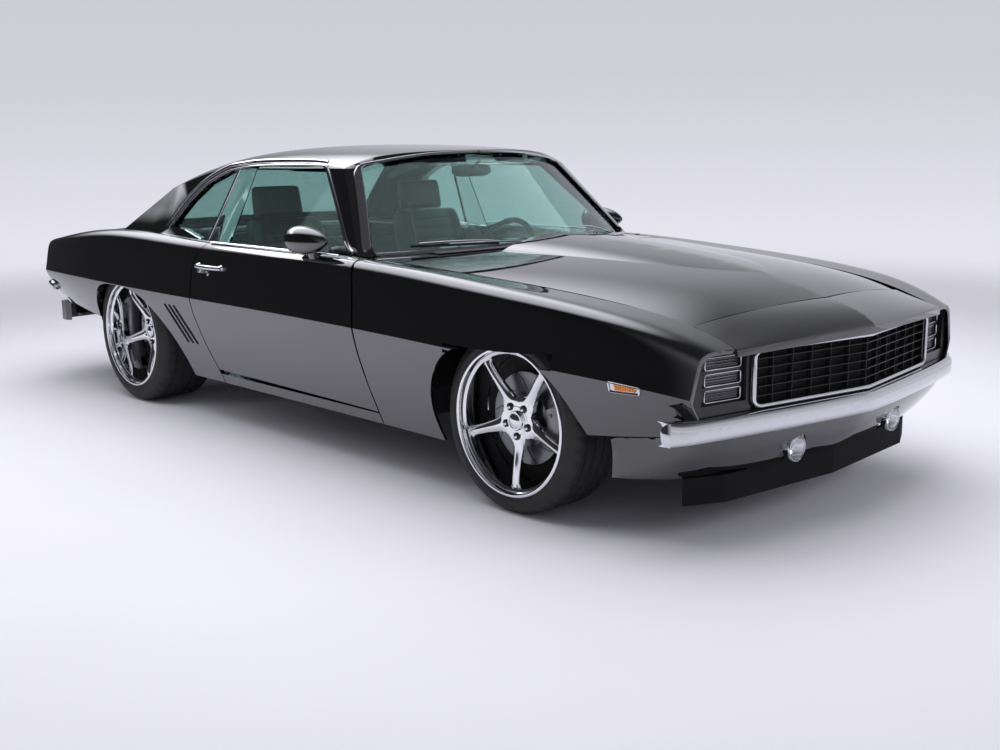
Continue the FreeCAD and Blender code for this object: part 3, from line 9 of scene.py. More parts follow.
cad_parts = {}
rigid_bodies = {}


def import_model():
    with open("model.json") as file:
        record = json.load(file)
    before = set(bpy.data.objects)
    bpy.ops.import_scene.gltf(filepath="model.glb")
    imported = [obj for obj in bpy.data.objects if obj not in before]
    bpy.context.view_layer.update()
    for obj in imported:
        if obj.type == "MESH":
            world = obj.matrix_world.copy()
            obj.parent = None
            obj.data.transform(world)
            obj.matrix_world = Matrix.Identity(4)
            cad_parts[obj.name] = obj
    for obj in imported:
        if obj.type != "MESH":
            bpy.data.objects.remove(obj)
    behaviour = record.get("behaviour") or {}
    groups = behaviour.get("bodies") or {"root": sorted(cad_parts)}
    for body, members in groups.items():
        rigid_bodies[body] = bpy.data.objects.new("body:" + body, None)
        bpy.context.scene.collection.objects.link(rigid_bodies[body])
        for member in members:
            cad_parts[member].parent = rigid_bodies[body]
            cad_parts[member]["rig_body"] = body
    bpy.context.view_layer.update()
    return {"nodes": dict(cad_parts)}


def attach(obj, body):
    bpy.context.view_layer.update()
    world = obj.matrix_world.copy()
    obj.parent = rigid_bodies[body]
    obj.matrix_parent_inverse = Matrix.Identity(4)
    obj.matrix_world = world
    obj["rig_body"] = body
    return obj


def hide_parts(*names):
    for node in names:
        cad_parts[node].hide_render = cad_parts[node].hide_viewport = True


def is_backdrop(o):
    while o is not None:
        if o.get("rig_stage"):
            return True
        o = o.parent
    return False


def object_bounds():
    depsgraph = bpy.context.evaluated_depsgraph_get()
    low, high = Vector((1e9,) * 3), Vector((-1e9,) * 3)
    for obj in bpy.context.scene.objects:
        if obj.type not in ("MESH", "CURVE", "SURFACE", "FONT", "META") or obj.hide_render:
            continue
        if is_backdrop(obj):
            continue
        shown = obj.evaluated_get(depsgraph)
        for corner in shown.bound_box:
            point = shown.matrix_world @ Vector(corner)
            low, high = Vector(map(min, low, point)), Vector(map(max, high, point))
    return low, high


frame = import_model()

# wheelbase, half width, height of the belt line and place of the front axle, in metres
WB, HALF, BELT, AXLE = 2.743, 0.94, 0.848, -1.447
# front and rear glass in millimetres: stations of the feet at the belt, bow at BOW_HALF, and lean
SCREEN_FOOT, SCREEN_BOW, BOW_HALF, SCREEN_LEAN = 0.232 * 2743, 272.0, 788.0, 1.14
REAR_FOOT, REAR_BOW_SHARE, REAR_LEAN, GLASS_FOOT = 1.098 * 2743, 0.3, 1.75, 848
LEFT, BACK, FORWARD, DOWN = (Vector(way) for way in ((1, 0, 0), (0, 1, 0), (0, -1, 0), (0, 0, -1)))


def at(x, y, z):
    """A point in metres from millimetres, with y measured back from the front axle."""
    return Vector((x / 1000, AXLE + y / 1000, z / 1000))


# materials
def feed(tree, node, inputs):
    """Sets a node's inputs to plain values, or links them to other nodes' outputs."""
    for name, value in inputs.items():
        if isinstance(value, bpy.types.NodeSocket):
            tree.links.new(value, node.inputs[name])
        else:
            node.inputs[name].default_value = value


def add_node(tree, kind, inputs=None, operation=None):
    node = tree.nodes.new("ShaderNode" + kind)
    if operation:
        node.operation = operation
    feed(tree, node, inputs or {})
    return node


def ranged(tree, value, start, end, first, last):
    """Eases from first to last while the value runs from start to end."""
    node = add_node(tree, "MapRange", {"Value": value, "From Min": start, "From Max": end, "To Min": first,
                                       "To Max": last})
    node.interpolation_type = "SMOOTHSTEP"
    return node.outputs["Result"]


def node_material(name, color, rough, metal=0.0, grain=300.0, bump=0.1, depth=0.0002, spread=0.2, tint=0.15,
                  coat=0.0, ior=1.5, transmission=0.0, specular=0.5, coat_rough=0.03, sheen=0.0):
    """A Principled material whose colour, roughness and bump vary with object-space noise."""
    mat = bpy.data.materials.new(name)
    mat.use_nodes = True
    tree = mat.node_tree
    place = add_node(tree, "TexCoord").outputs["Object"]
    fine = add_node(tree, "TexNoise", {"Vector": place, "Scale": grain, "Detail": 4}).outputs["Fac"]
    broad = add_node(tree, "TexNoise", {"Vector": place, "Scale": 3.0, "Detail": 3}).outputs["Fac"]
    roughness = add_node(tree, "MapRange", {"Value": broad, "To Min": rough * (1 - spread),
                                            "To Max": rough * (1 + spread)})
    colors = add_node(tree, "ValToRGB", {"Fac": fine})
    for stop, position, share in zip(colors.color_ramp.elements, (0.3, 0.7), (1 - tint, 1 + tint)):
        stop.position = position
        stop.color = [min(c * share, 1) for c in color] + [1]
    shader = tree.nodes["Principled BSDF"]
    if bump:
        relief = add_node(tree, "Bump", {"Height": fine, "Strength": bump, "Distance": depth})
        feed(tree, shader, {"Normal": relief.outputs["Normal"]})
    feed(tree, shader, {"Base Color": colors.outputs["Color"], "Roughness": roughness.outputs["Result"],
                        "Metallic": metal, "IOR": ior, "Coat Weight": coat, "Coat Roughness": coat_rough,
                        "Transmission Weight": transmission, "Specular IOR Level": specular,
                        "Sheen Weight": sheen})
    return mat


PAINT = node_material("gloss_black_paint", (0.003, 0.003, 0.0035), 0.04, grain=90, bump=0.03, depth=0.00003,
                      coat=0.7, coat_rough=0.01, ior=1.9)
SATIN = node_material("satin_black_coat", (0.012, 0.012, 0.013), 0.45, grain=250, bump=0.3, depth=0.0003)
CHROME = node_material("polished_chrome", (0.66, 0.66, 0.69), 0.045, metal=1, grain=60, bump=0.03,
                       depth=0.00003, tint=0.02)
RIM = node_material("rim_chrome", (0.80, 0.80, 0.82), 0.05, metal=1, grain=80, bump=0.03, depth=0.00003, tint=0.02)
RUBBER = node_material("tyre_rubber", (0.016, 0.016, 0.017), 0.62, grain=900, bump=0.35, depth=0.0003)
SEAL = node_material("rubber_seal", (0.008, 0.008, 0.009), 0.5, grain=500, bump=0.2)
GLASS = node_material("tinted_glass", (0.50, 0.70, 0.66), 0.0, grain=40, bump=0, transmission=1, ior=1.45,
                      tint=0.02, spread=0)
LENS = node_material("clear_lens", (0.94, 0.95, 0.96), 0.02, grain=120, bump=0.15, depth=0.0004,
                     transmission=1, ior=1.45, tint=0.01)
AMBER = node_material("amber_lens", (0.85, 0.26, 0.03), 0.12, grain=500, bump=0.4, depth=0.0004, coat=0.5, tint=0.3)
RED = node_material("red_lens", (0.42, 0.008, 0.010), 0.12, grain=500, bump=0.4, depth=0.0004, coat=0.5, tint=0.3)
TRIM = node_material("black_trim", (0.010, 0.010, 0.011), 0.5, grain=700, bump=0.25)
GRILLE = node_material("grille_black", (0.012, 0.012, 0.013), 0.25, grain=300, bump=0.1)
VINYL = node_material("seat_vinyl", (0.009, 0.009, 0.010), 0.42, grain=1400, bump=0.55, depth=0.0005, coat=0.1)
CARPET = node_material("cabin_carpet", (0.010, 0.010, 0.011), 0.95, grain=2200, bump=1.0, depth=0.002, sheen=0.2)
STEEL = node_material("brushed_steel", (0.20, 0.20, 0.21), 0.30, metal=1, grain=400, bump=0.2, spread=0.4)
CALIPER = node_material("caliper_silver", (0.30, 0.30, 0.31), 0.38, metal=0.7, grain=500, bump=0.3)
IRON = node_material("cast_iron", (0.06, 0.058, 0.056), 0.6, metal=0.7, grain=350, bump=0.6, depth=0.0006)
# near black, for black parts and for painted shade in slots, wells, vents and behind the grille and brake discs
BLACK_AND_SHADE = node_material("black_and_painted_shade", (0.003, 0.003, 0.003), 0.8, grain=200, bump=0.2)
DAM = node_material("dull_black_plastic", (0.004, 0.004, 0.0045), 0.8, grain=400, bump=0.3, specular=0.25)
BRIGHT = node_material("dark_bright_edge", (0.055, 0.055, 0.058), 0.3, metal=1, grain=90, bump=0.05, depth=0.00005)
SMOKED = node_material("smoked_chrome", (0.30, 0.30, 0.32), 0.08, metal=1, grain=60, bump=0.03, depth=0.00003,
                       tint=0.02)


# smooth surfaces of the body
def basis(t, count):
    """B-spline basis values and slopes at t for a clamped even knot line."""
    degree = min(3, count - 1)
    spans = count - degree
    knots = np.concatenate([np.zeros(degree), np.linspace(0, 1, spans + 1), np.ones(degree)])
    t = np.clip(t, 0, 1)
    values = np.zeros((len(knots) - 1, len(t)))
    place = np.clip(np.searchsorted(knots, t, side="right") - 1, degree, count - 1)
    values[place, np.arange(len(t))] = 1
    slopes = None
    for order in range(1, degree + 1):
        if order == degree:
            slopes = np.zeros((count, len(t)))
            for i in range(count):
                a, b = knots[i + order] - knots[i], knots[i + order + 1] - knots[i + 1]
                slopes[i] = degree * ((values[i] / a if a else 0) - (values[i + 1] / b if b else 0))
        fresh = np.zeros((len(values) - 1, len(t)))
        for i in range(len(fresh)):
            a, b = knots[i + order] - knots[i], knots[i + order + 1] - knots[i + 1]
            rise = (t - knots[i]) / a * values[i] if a else 0
            fresh[i] = rise + ((knots[i + order + 1] - t) / b * values[i + 1] if b else 0)
        values = fresh
    return values.T, slopes.T


class Net:
    """A smooth surface held by rows of control points, on the left side of the car."""
    def __init__(self, rows):
        self.poles = np.array(rows, float)
        self.shape = self.poles.shape[:2]
        u, v = np.meshgrid(np.linspace(0, 1, 40), np.linspace(0, 1, 160), indexing="ij")
        self.grid = np.stack([u.ravel(), v.ravel()], 1)
        points = self.points(self.grid)[0]
        self.spots = points
        self.tree = KDTree(len(points))
        for i, p in enumerate(points):
            self.tree.insert(p, i)
        self.tree.balance()

    def points(self, uv):
        bu, du = basis(uv[:, 0], self.shape[0])
        bv, dv = basis(uv[:, 1], self.shape[1])
        both = lambda a, b: np.einsum("ni,nj,ijk->nk", a, b, self.poles)
        return both(bu, bv), both(du, bv), both(bu, dv)

    def nearest(self, spots):
        """Foot point, unit normal and distance of each spot, worked on the left side."""
        side = np.where(spots[:, 0] < 0, -1.0, 1.0)
        flip = np.stack([side, np.ones_like(side), np.ones_like(side)], 1)
        work = spots * flip
        uv = np.array([self.grid[self.tree.find(p)[1]] for p in work])
        for _ in range(5):
            s, su, sv = self.points(uv)
            r = work - s
            a, b, c = (su * su).sum(1), (su * sv).sum(1), (sv * sv).sum(1)
            p, q = (su * r).sum(1), (sv * r).sum(1)
            det = a * c - b * b + 1e-12
            uv = np.clip(uv + np.stack([(c * p - b * q) / det, (a * q - b * p) / det], 1), 0, 1)
        s, su, sv = self.points(uv)
        normal = np.cross(su, sv)
        normal /= np.linalg.norm(normal, axis=1, keepdims=True) + 1e-12
        return s * flip, normal * flip, np.linalg.norm(work - s, axis=1)


# body sections, front to back: stations in wheelbases, widths and seams in HALF, heights in BELT
stations = (-0.277, -0.216, -0.128, 0.0, 0.146, 0.303, 0.51, 0.744, 0.911, 1.057, 1.203, 1.312, 1.369)
widths = (0.872, 0.945, 0.98, 1.0, 0.994, 0.987, 0.989, 0.992, 0.998, 0.998, 0.986, 0.955, 0.925)
creases = (0.61, 0.645, 0.66, 0.672, 0.684, 0.691, 0.698, 0.696, 0.7, 0.705, 0.71, 0.706, 0.7)
shoulders = (0.779, 0.858, 0.908, 0.942, 0.972, 0.998, 1.0, 0.998, 1.014, 1.02, 0.98, 0.926, 0.9)
sills = (0.43, 0.34, 0.26, 0.212, 0.208, 0.208, 0.208, 0.212, 0.222, 0.27, 0.36, 0.46, 0.53)
seams = (0.682, 0.685, 0.733, 0.765, 0.81, 0.858, 0.867, 0.867, 0.858, 0.83, 0.79, 0.775, 0.765)
sweeps = (0.185, 0.12, 0.05, 0, 0, 0, 0, 0, 0, 0, 0, -0.06, -0.2)
lower_shares = ((0.105, 0), (0.048, 0.42), (0.012, 0.8), (0, 1))
upper_shares = ((0, 0), (0.016, 0.42), (0.026, 0.74), (0.045, 0.95), (0.1, 1.02))
hood_crowns = (0.085, 0.088, 0.085, 0.08, 0.062, 0.02, 0.02)
deck_crowns = (0.03, 0.03, 0.03, 0.028, 0.026, 0.024)


def section(number):
    """Control points of one body section: side below the crease, side above it."""
    width, crease = widths[number] * HALF, creases[number] * BELT
    shoulder, sill = shoulders[number] * BELT, sills[number] * BELT
    seam, place = seams[number] * HALF, stations[number] * WB + AXLE

    def swept(x, z):
        return (x, place - sweeps[number] * (width - x), z)
    low = [swept(width - a * HALF, sill + b * (crease - sill)) for a, b in lower_shares]
    high = [swept(width - a * HALF, crease + b * (shoulder - crease)) for a, b in upper_shares]
    high += [swept((seam + high[-1][0]) / 2, shoulder), swept(seam, shoulder)]
    return low, high


def top_line(number, crown):
    place, shoulder = stations[number] * WB + AXLE, shoulders[number] * BELT
    return [(seams[number] * HALF * h, place, shoulder + crown * BELT * r)
            for h, r in ((1, 0), (0.7, 0.6), (0.35, 0.9), (0, 1))]


sections = [section(n) for n in range(13)]
lower_net = Net([[sections[n][0][row] for n in range(13)] for row in range(4)])
upper_net = Net([[sections[n][1][row] for n in range(13)] for row in range(7)])
hood_net = Net([top_line(n, c) for n, c in enumerate(hood_crowns)])
deck_net = Net([top_line(n + 7, c) for n, c in enumerate(deck_crowns)])
bulge_net = Net([[(x * 0.94, y * WB + AXLE, z * BELT) for x, z in row] for y, row in (
    (-0.165, ((0, 0.97), (0.2, 0.955), (0.3, 0.92))), (-0.09, ((0, 1.025), (0.24, 1.01), (0.33, 0.97))),
    (0.08, ((0, 1.068), (0.3, 1.055), (0.36, 1.0))), (0.204, ((0, 1.082), (0.32, 1.068), (0.4, 1.0))))])
header_net = Net([
    [(0.64, -0.6248 + AXLE, 0.842 * BELT), (0.64, -0.262 * WB + AXLE, 0.81 * BELT),
     (0.64, -0.288 * WB + AXLE, 0.785 * BELT), (0.64, -0.292 * WB + AXLE, 0.775 * BELT)],
    [(0.32, -0.67832 + AXLE, 0.893 * BELT), (0.32, -0.285 * WB + AXLE, 0.86 * BELT),
     (0.32, -0.31 * WB + AXLE, 0.805 * BELT), (0.32, -0.311 * WB + AXLE, 0.785 * BELT)],
    [(0, -0.711 + AXLE, 0.888 * BELT), (0, -0.302 * WB + AXLE, 0.868 * BELT),
     (0, -0.328 * WB + AXLE, 0.812 * BELT), (0, -0.329 * WB + AXLE, 0.79 * BELT)]])
roof_net = Net([[(half * 0.65, y * WB + AXLE, z * BELT - drop * 0.65) for y, z in (
    (0.1, 1.24), (0.34, 1.452), (0.43, 1.5), (0.573, 1.506), (0.72, 1.504), (0.87, 1.456), (1.1, 1.24))]
                for half, drop in ((0.0, 0.0), (0.36, 0.002), (0.7, 0.03), (0.92, 0.075), (1.16, 0.2))])


def body_of(node):
    return frame["nodes"][node]["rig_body"]


def give(obj, mat):
    obj.data.materials.clear()
    obj.data.materials.append(mat)


def linked(name, data):
    """A new object in the scene."""
    obj = bpy.data.objects.new(name, data)
    bpy.context.scene.collection.objects.link(obj)
    return obj


def welded(mesh, gap, outward=False):
    """Joins doubled vertices, and turns the faces outward where that is asked."""
    work = bmesh.new()
    work.from_mesh(mesh)
    bmesh.ops.remove_doubles(work, verts=work.verts, dist=gap)
    if outward:
        bmesh.ops.recalc_face_normals(work, faces=work.faces)
    work.to_mesh(mesh)
    work.free()


def smoothed(mesh, angle):
    mesh.shade_smooth()
    mesh.set_sharp_from_angle(angle=math.radians(angle))


def copied(node, name):
    """A welded copy of a CAD node's mesh, for a finish that the node itself can't hold."""
    mesh = frame["nodes"][node].data.copy()
    welded(mesh, 2e-6)
    mesh.name = name
    return linked(name, mesh)


def read_all(items, key, width=3, kind=float):
    """One property of all vertices, corners or faces, as an array."""
    values = np.zeros(len(items) * width, kind)
    items.foreach_get(key, values)
    return values.reshape(-1, width) if width > 1 else values


def gloss_panel(node, nets, mat, reach=0.0008, cone=0.86):
    """Stands for a painted panel: the same shape, with the true surface normals, so reflections run smoothly."""
    obj = copied(node, node + "_panel")
    mesh = obj.data
    smoothed(mesh, 28)
    corners, spots = read_all(mesh.corner_normals, "vector"), read_all(mesh.vertices, "co")
    verts = read_all(mesh.loops, "vertex_index", 1, int)
    counts = read_all(mesh.polygons, "loop_total", 1, int)
    faces, middles = read_all(mesh.polygons, "normal"), read_all(mesh.polygons, "center")
    # each face belongs to the net that is nearest to its middle and has its slope
    best = np.full(len(counts), reach * 2)
    owner = np.full(len(counts), -1)
    found = []
    for number, net in enumerate(nets):
        found.append(net.nearest(spots)[1:])
        _, normal, gap = net.nearest(middles)
        fits = (gap < best) & (np.abs((normal * faces).sum(1)) > cone)
        best[fits], owner[fits] = gap[fits], number
    owners, faces = np.repeat(owner, counts), np.repeat(faces, counts, axis=0)
    for number, (normal, gap) in enumerate(found):
        lean = (normal[verts] * faces).sum(1)
        fits = (owners == number) & (gap[verts] < reach) & (np.abs(lean) > cone)
        corners[fits] = normal[verts][fits] * np.sign(lean[fits])[:, None]
    mesh.normals_split_custom_set([tuple(n) for n in corners])
    give(obj, mat)
    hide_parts(node)
    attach(obj, body_of(node))


def dressed(node, mat):
    """Stands for a CAD node with the same shape, welded and smoothed, in a better finish."""
    obj = copied(node, node + "_piece")
    smoothed(obj.data, 32)
    give(obj, mat)
    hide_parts(node)
    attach(obj, body_of(node))


for node in ("fenders", "quarters", "door_left", "door_right", "rockers"):
    gloss_panel(node, (lower_net, upper_net), PAINT)
for node in ("hood", "cowl"):
    gloss_panel(node, (hood_net, bulge_net), PAINT)
for node in ("trunk_lid", "deck_panel"):
    gloss_panel(node, (deck_net,), PAINT)
gloss_panel("header_panel", (header_net,), PAINT)
gloss_panel("roof", (roof_net,), PAINT)
for node in ("windshield", "rear_glass", "quarter_glass", "door_glass_left", "door_glass_right"):
    dressed(node, GLASS)
for node in ("front_valance", "tail_panel", "rear_valance"):
    dressed(node, PAINT)
plain = {"air_dam": DAM, "control_arms": IRON, "front_rails": SATIN, "floor_pan": SATIN, "wheelhouses": SATIN,
         "door_pillars": SATIN, "rear_axle": IRON, "fuel_tank": STEEL, "engine_mass": IRON, "driveline": STEEL,
         "exhaust": STEEL, "dashboard": VINYL, "steering_wheel": TRIM, "seats_front": VINYL, "seat_rear": VINYL,
         "rear_shelf": CARPET, "inside_mirror": TRIM, "wipers": CHROME, "door_fittings_left": CHROME,
         "door_fittings_right": CHROME, "side_markers": AMBER, "tail_lamps": RED, "fog_lamps": LENS,
         "grille": GRILLE, "headlamps": GRILLE, "knuckle_left": IRON, "knuckle_right": IRON}
for node, mat in plain.items():
    give(frame["nodes"][node], mat)
for corner in ("front_left", "front_right", "rear_left", "rear_right"):
    give(frame["nodes"]["tyre_" + corner], RUBBER)
    give(frame["nodes"]["rim_" + corner], RIM)


# mesh helpers
def piece(name, verts, faces, mat, slot, body, angle=35, stands_for=()):
    """A mesh piece in the row frame, smooth except at sharp edges, riding on a body."""
    mesh = bpy.data.meshes.new(name)
    mesh.from_pydata([tuple(v) for v in verts], [], faces)
    mesh.validate()
    welded(mesh, 1e-6, outward=True)
    smoothed(mesh, angle)
    obj = linked(name, mesh)
    give(obj, mat)
    if stands_for:
        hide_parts(*stands_for)
    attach(obj, body)
    return obj


def loft(rings, closed=True, ends=True):
    """Faces between equal rings of points, which follow each other in the vertex list."""
    count, size = len(rings), len(rings[0])
    faces = []
    for i in range(count - 1):
        for j in range(size if closed else size - 1):
            a, b = i * size + j, i * size + (j + 1) % size
            faces.append((a, b, b + size, a + size))
    if ends and closed:
        faces.append(tuple(reversed(range(size))))
        faces.append(tuple((count - 1) * size + j for j in range(size)))
    return [p for ring in rings for p in ring], faces


def joined(*parts):
    """Several vertex and face lists as one."""
    verts, faces = [], []
    for v, f in parts:
        base = len(verts)
        verts += list(v)
        faces += [tuple(base + i for i in face) for face in f]
    return verts, faces


def mirrored(verts, faces):
    """The same form on the other side of the car."""
    return [Vector((-v[0], v[1], v[2])) for v in verts], [tuple(reversed(f)) for f in faces]


def both_sides(name, verts, faces, mat, slot, body, **options):
    """One piece holding a form and its mirror image."""
    return piece(name, *joined((verts, faces), mirrored(verts, faces)), mat, slot, body, **options)


def lathe(profile, centre, axis, turns=96, closed=False, first=0.0, sweep=math.tau):
    """Turns (distance along axis, radius) points about the axis through centre."""
    axis = Vector(axis).normalized()
    side = DOWN if abs(axis.x) > 0.9 else axis.orthogonal().normalized()
    other = axis.cross(side)
    whole = abs(sweep - math.tau) < 1e-6
    rings = []
    for step in range(turns + (0 if whole else 1)):
        turn = first + sweep * step / turns
        way = math.cos(turn) * side + math.sin(turn) * other
        rings.append([centre + axis * a + way * r for a, r in profile])
    if whole:
        rings.append(rings[0])
    return loft(rings, closed=closed, ends=closed and not whole)


def tube(points, radius, sides=10, closed=False, flat=1.0, up=None):
    """A round or flattened bar along points; radius may be one number or one for each point."""
    points = [Vector(p) for p in points]
    count = len(points)
    radii = radius if hasattr(radius, "__len__") else [radius] * count
    rings = []
    last = Vector(up) if up else None
    for i, p in enumerate(points):
        ahead = points[(i + 1) % count] if closed or i < count - 1 else p
        behind = points[i - 1] if closed or i > 0 else p
        way = (ahead - behind).normalized()
        if last is None:
            last = way.orthogonal()
        last = (last - way * last.dot(way)).normalized()
        other = way.cross(last)
        rings.append([p + (math.cos(t) * last * flat + math.sin(t) * other) * radii[i]
                      for t in [math.tau * k / sides for k in range(sides)]])
    if closed:
        rings.append(rings[0])
    return loft(rings, ends=not closed)


def curved(points, steps=8):
    """A smooth line through the given points."""
    points = [Vector(p) for p in points]
    line = []
    for i in range(len(points) - 1):
        a, b = points[max(i - 1, 0)], points[i]
        c, d = points[i + 1], points[min(i + 2, len(points) - 1)]
        for k in range(steps):
            t = k / steps
            line.append(0.5 * ((2 * b) + (c - a) * t + (2 * a - 5 * b + 4 * c - d) * t * t
                               + (3 * b - 3 * c + d - a) * t ** 3))
    return line + [points[-1]]


def strip(spots, half_widths, thick):
    """A flat moulding with rounded edges, along (point, normal) pairs of a surface."""
    rings = []
    last = len(spots) - 1
    for i, (p, n) in enumerate(spots):
        way = (spots[min(i + 1, last)][0] - spots[max(i - 1, 0)][0]).normalized()
        n = (n - way * n.dot(way)).normalized()
        across = way.cross(n)
        half = half_widths[i] if hasattr(half_widths, "__len__") else half_widths
        rings.append([p + across * (half * a) + n * (thick * b) for a, b in (
            (-1, -0.4), (-1, 0.35), (-0.82, 0.8), (-0.4, 1.0), (0.4, 1.0), (0.82, 0.8), (1, 0.35), (1, -0.4))])
    return loft(rings)


def rounded(left, right, foot, top, radius, steps=5):
    """A closed line with round corners, from the middles of their arcs."""
    return [(x + radius * math.cos(t), z + radius * math.sin(t))
            for x, z, first in ((right, top, 0), (left, top, 90), (left, foot, 180), (right, foot, 270))
            for t in [math.radians(first + 90 * k / (steps - 1)) for k in range(steps)]]


def block(low, high, soft):
    """A box with chamfered edges, between two corners in metres."""
    rings = []
    for z, inset in ((low.z, soft), (low.z + soft, 0), (high.z - soft, 0), (high.z, soft)):
        x0, x1, y0, y1 = low.x + inset, high.x - inset, low.y + inset, high.y - inset
        rings.append([Vector(p) for p in (
            (x0 + soft, y0, z), (x1 - soft, y0, z), (x1, y0 + soft, z), (x1, y1 - soft, z),
            (x1 - soft, y1, z), (x0 + soft, y1, z), (x0, y1 - soft, z), (x0, y0 + soft, z))])
    return loft(rings)


def smooth_step(a, b, t):
    t = min(max((t - a) / (b - a), 0), 1)
    return t * t * (3 - 2 * t)


# wheels
# rim radius, the arc of a caliper, and the depth of the tread blocks
RIM_RADIUS, CALIPER_SPAN = 0.263, math.radians(52)
LUG = 0.0048
# place of the axle, tyre radius and width, outer face, dish of the rim and depth of the spokes' tips
FRONT_WHEEL = (0, 0.332, 0.245, 0.870, 0.062, 0.030)
REAR_WHEEL = (2743, 0.346, 0.305, 0.890, 0.130, 0.080)


def spoke_way(axis, turn):
    """The direction out from a wheel's axis, at a turn from straight down."""
    return math.cos(turn) * DOWN + math.sin(turn) * axis.cross(DOWN)


def shifted(points, depth):
    """A lathe profile moved inward along the axis."""
    return [(a - depth, r) for a, r in points]


def tyre_mesh(centre, axis, radius, width):
    """A low tyre with bead rings, a rounded shoulder and a grooved, blocked tread."""
    rise, half = radius - RIM_RADIUS, width / 2
    bead = [(0.014, 0.262), (0.006, 0.2635), (0.0015, 0.2665), (0.0004, 0.2705), (0.0016, 0.273), (0.0008, 0.2745)]
    side = bead + [(e, RIM_RADIUS + rise * share) for e, share in (
        (0.0002, 0.32), (0.0006, 0.44), (0.0014, 0.455), (0.0014, 0.47), (0.0022, 0.485), (0.0062, 0.62),
        (0.0104, 0.74), (0.0164, 0.83), (0.0232, 0.905), (0.0318, 0.965))]
    groove = ((-0.012, 0), (-0.0055, 0), (-0.004, -0.0065), (0.004, -0.0065), (0.0055, 0), (0.012, 0))
    tread = sorted((share * width + e, drop) for share in (0.24, 0.41, 0.59, 0.76) for e, drop in groove)
    across = [(e, radius - 0.0008 - 0.0035 * abs((e - half) / half) ** 3 + drop) for e, drop in tread]
    profile = side + across + [(width - e, r) for e, r in reversed(side)]
    steps = 252
    rings = []
    for k in range(steps):
        way = spoke_way(axis, math.tau * k / steps)
        ring = []
        for e, r in profile:
            if 0.011 < e < width - 0.011 and r > radius - 0.012:
                rib, lag = int(e / width / 0.173), int(abs(e - half) / width * 9)
                if (k + lag + 2 * rib) % 6 == 0 and abs(e - half) > 0.09 * width:
                    r -= LUG
            elif 0.006 < e < width - 0.006 and r > radius - 0.02 and (k + 1) % 6 in (0, 1):
                r -= LUG / 3
            ring.append(centre - axis * e + way * min(r, radius - 0.0004))
        rings.append(ring)
    rings.append(rings[0])
    return loft(rings, closed=False)


def star_mesh(centre, axis, hub_depth, tip_depth):
    """Five tapering spokes with ridged faces that run out from the hub and up to the rim."""
    root, tip, steps, ridge = 0.03, 0.2425, 24, 0.12
    parts = []
    for arm in range(5):
        way = spoke_way(axis, math.tau * arm / 5)
        across = axis.cross(way)
        rings = []
        for step in range(steps + 1):
            share = step / steps
            r = root + (tip - root) * share
            half = 0.0185 + 0.027 * math.exp(-max(r - 0.058, 0) / 0.034) + 0.010 * smooth_step(0.226, 0.243, r)
            half = min(half, r * math.tan(math.radians(36)) + 0.0005)
            depth = hub_depth + (tip_depth - hub_depth) * smooth_step(0.04, 0.235, r)
            fade = smooth_step(0.05, 0.11, r)
            ring = []
            for w in (-1, -0.93, -0.72, -0.42, -ridge, ridge, 0.42, 0.72, 0.93, 1):
                fall = 0.0105 * max(abs(w) - ridge, 0) ** 1.15 + 0.006 * max(abs(w) - 0.9, 0) / 0.1
                ring.append(centre + way * r + across * (half * w) - axis * (depth + fall * fade))
            for w in (0.86, -0.86):
                ring.append(centre + way * r + across * (half * w) - axis * (depth + 0.030 - 0.006 * share))
            rings.append(ring)
        parts.append(loft(rings))
    return joined(*parts)


def nut(centre, axis, radius, length):
    """A six-sided nut with a domed end, pointing along the axis."""
    up = Vector((0, 0, 1))
    ways = [math.cos(math.tau * k / 6) * up + math.sin(math.tau * k / 6) * axis.cross(up) for k in range(6)]
    return loft([[centre + axis * a + way * (radius * r) for way in ways] for a, r in (
        (-0.01, 1), (length * 0.6, 1), (length * 0.7, 0.86), (length * 0.9, 0.6), (length, 0.2))])


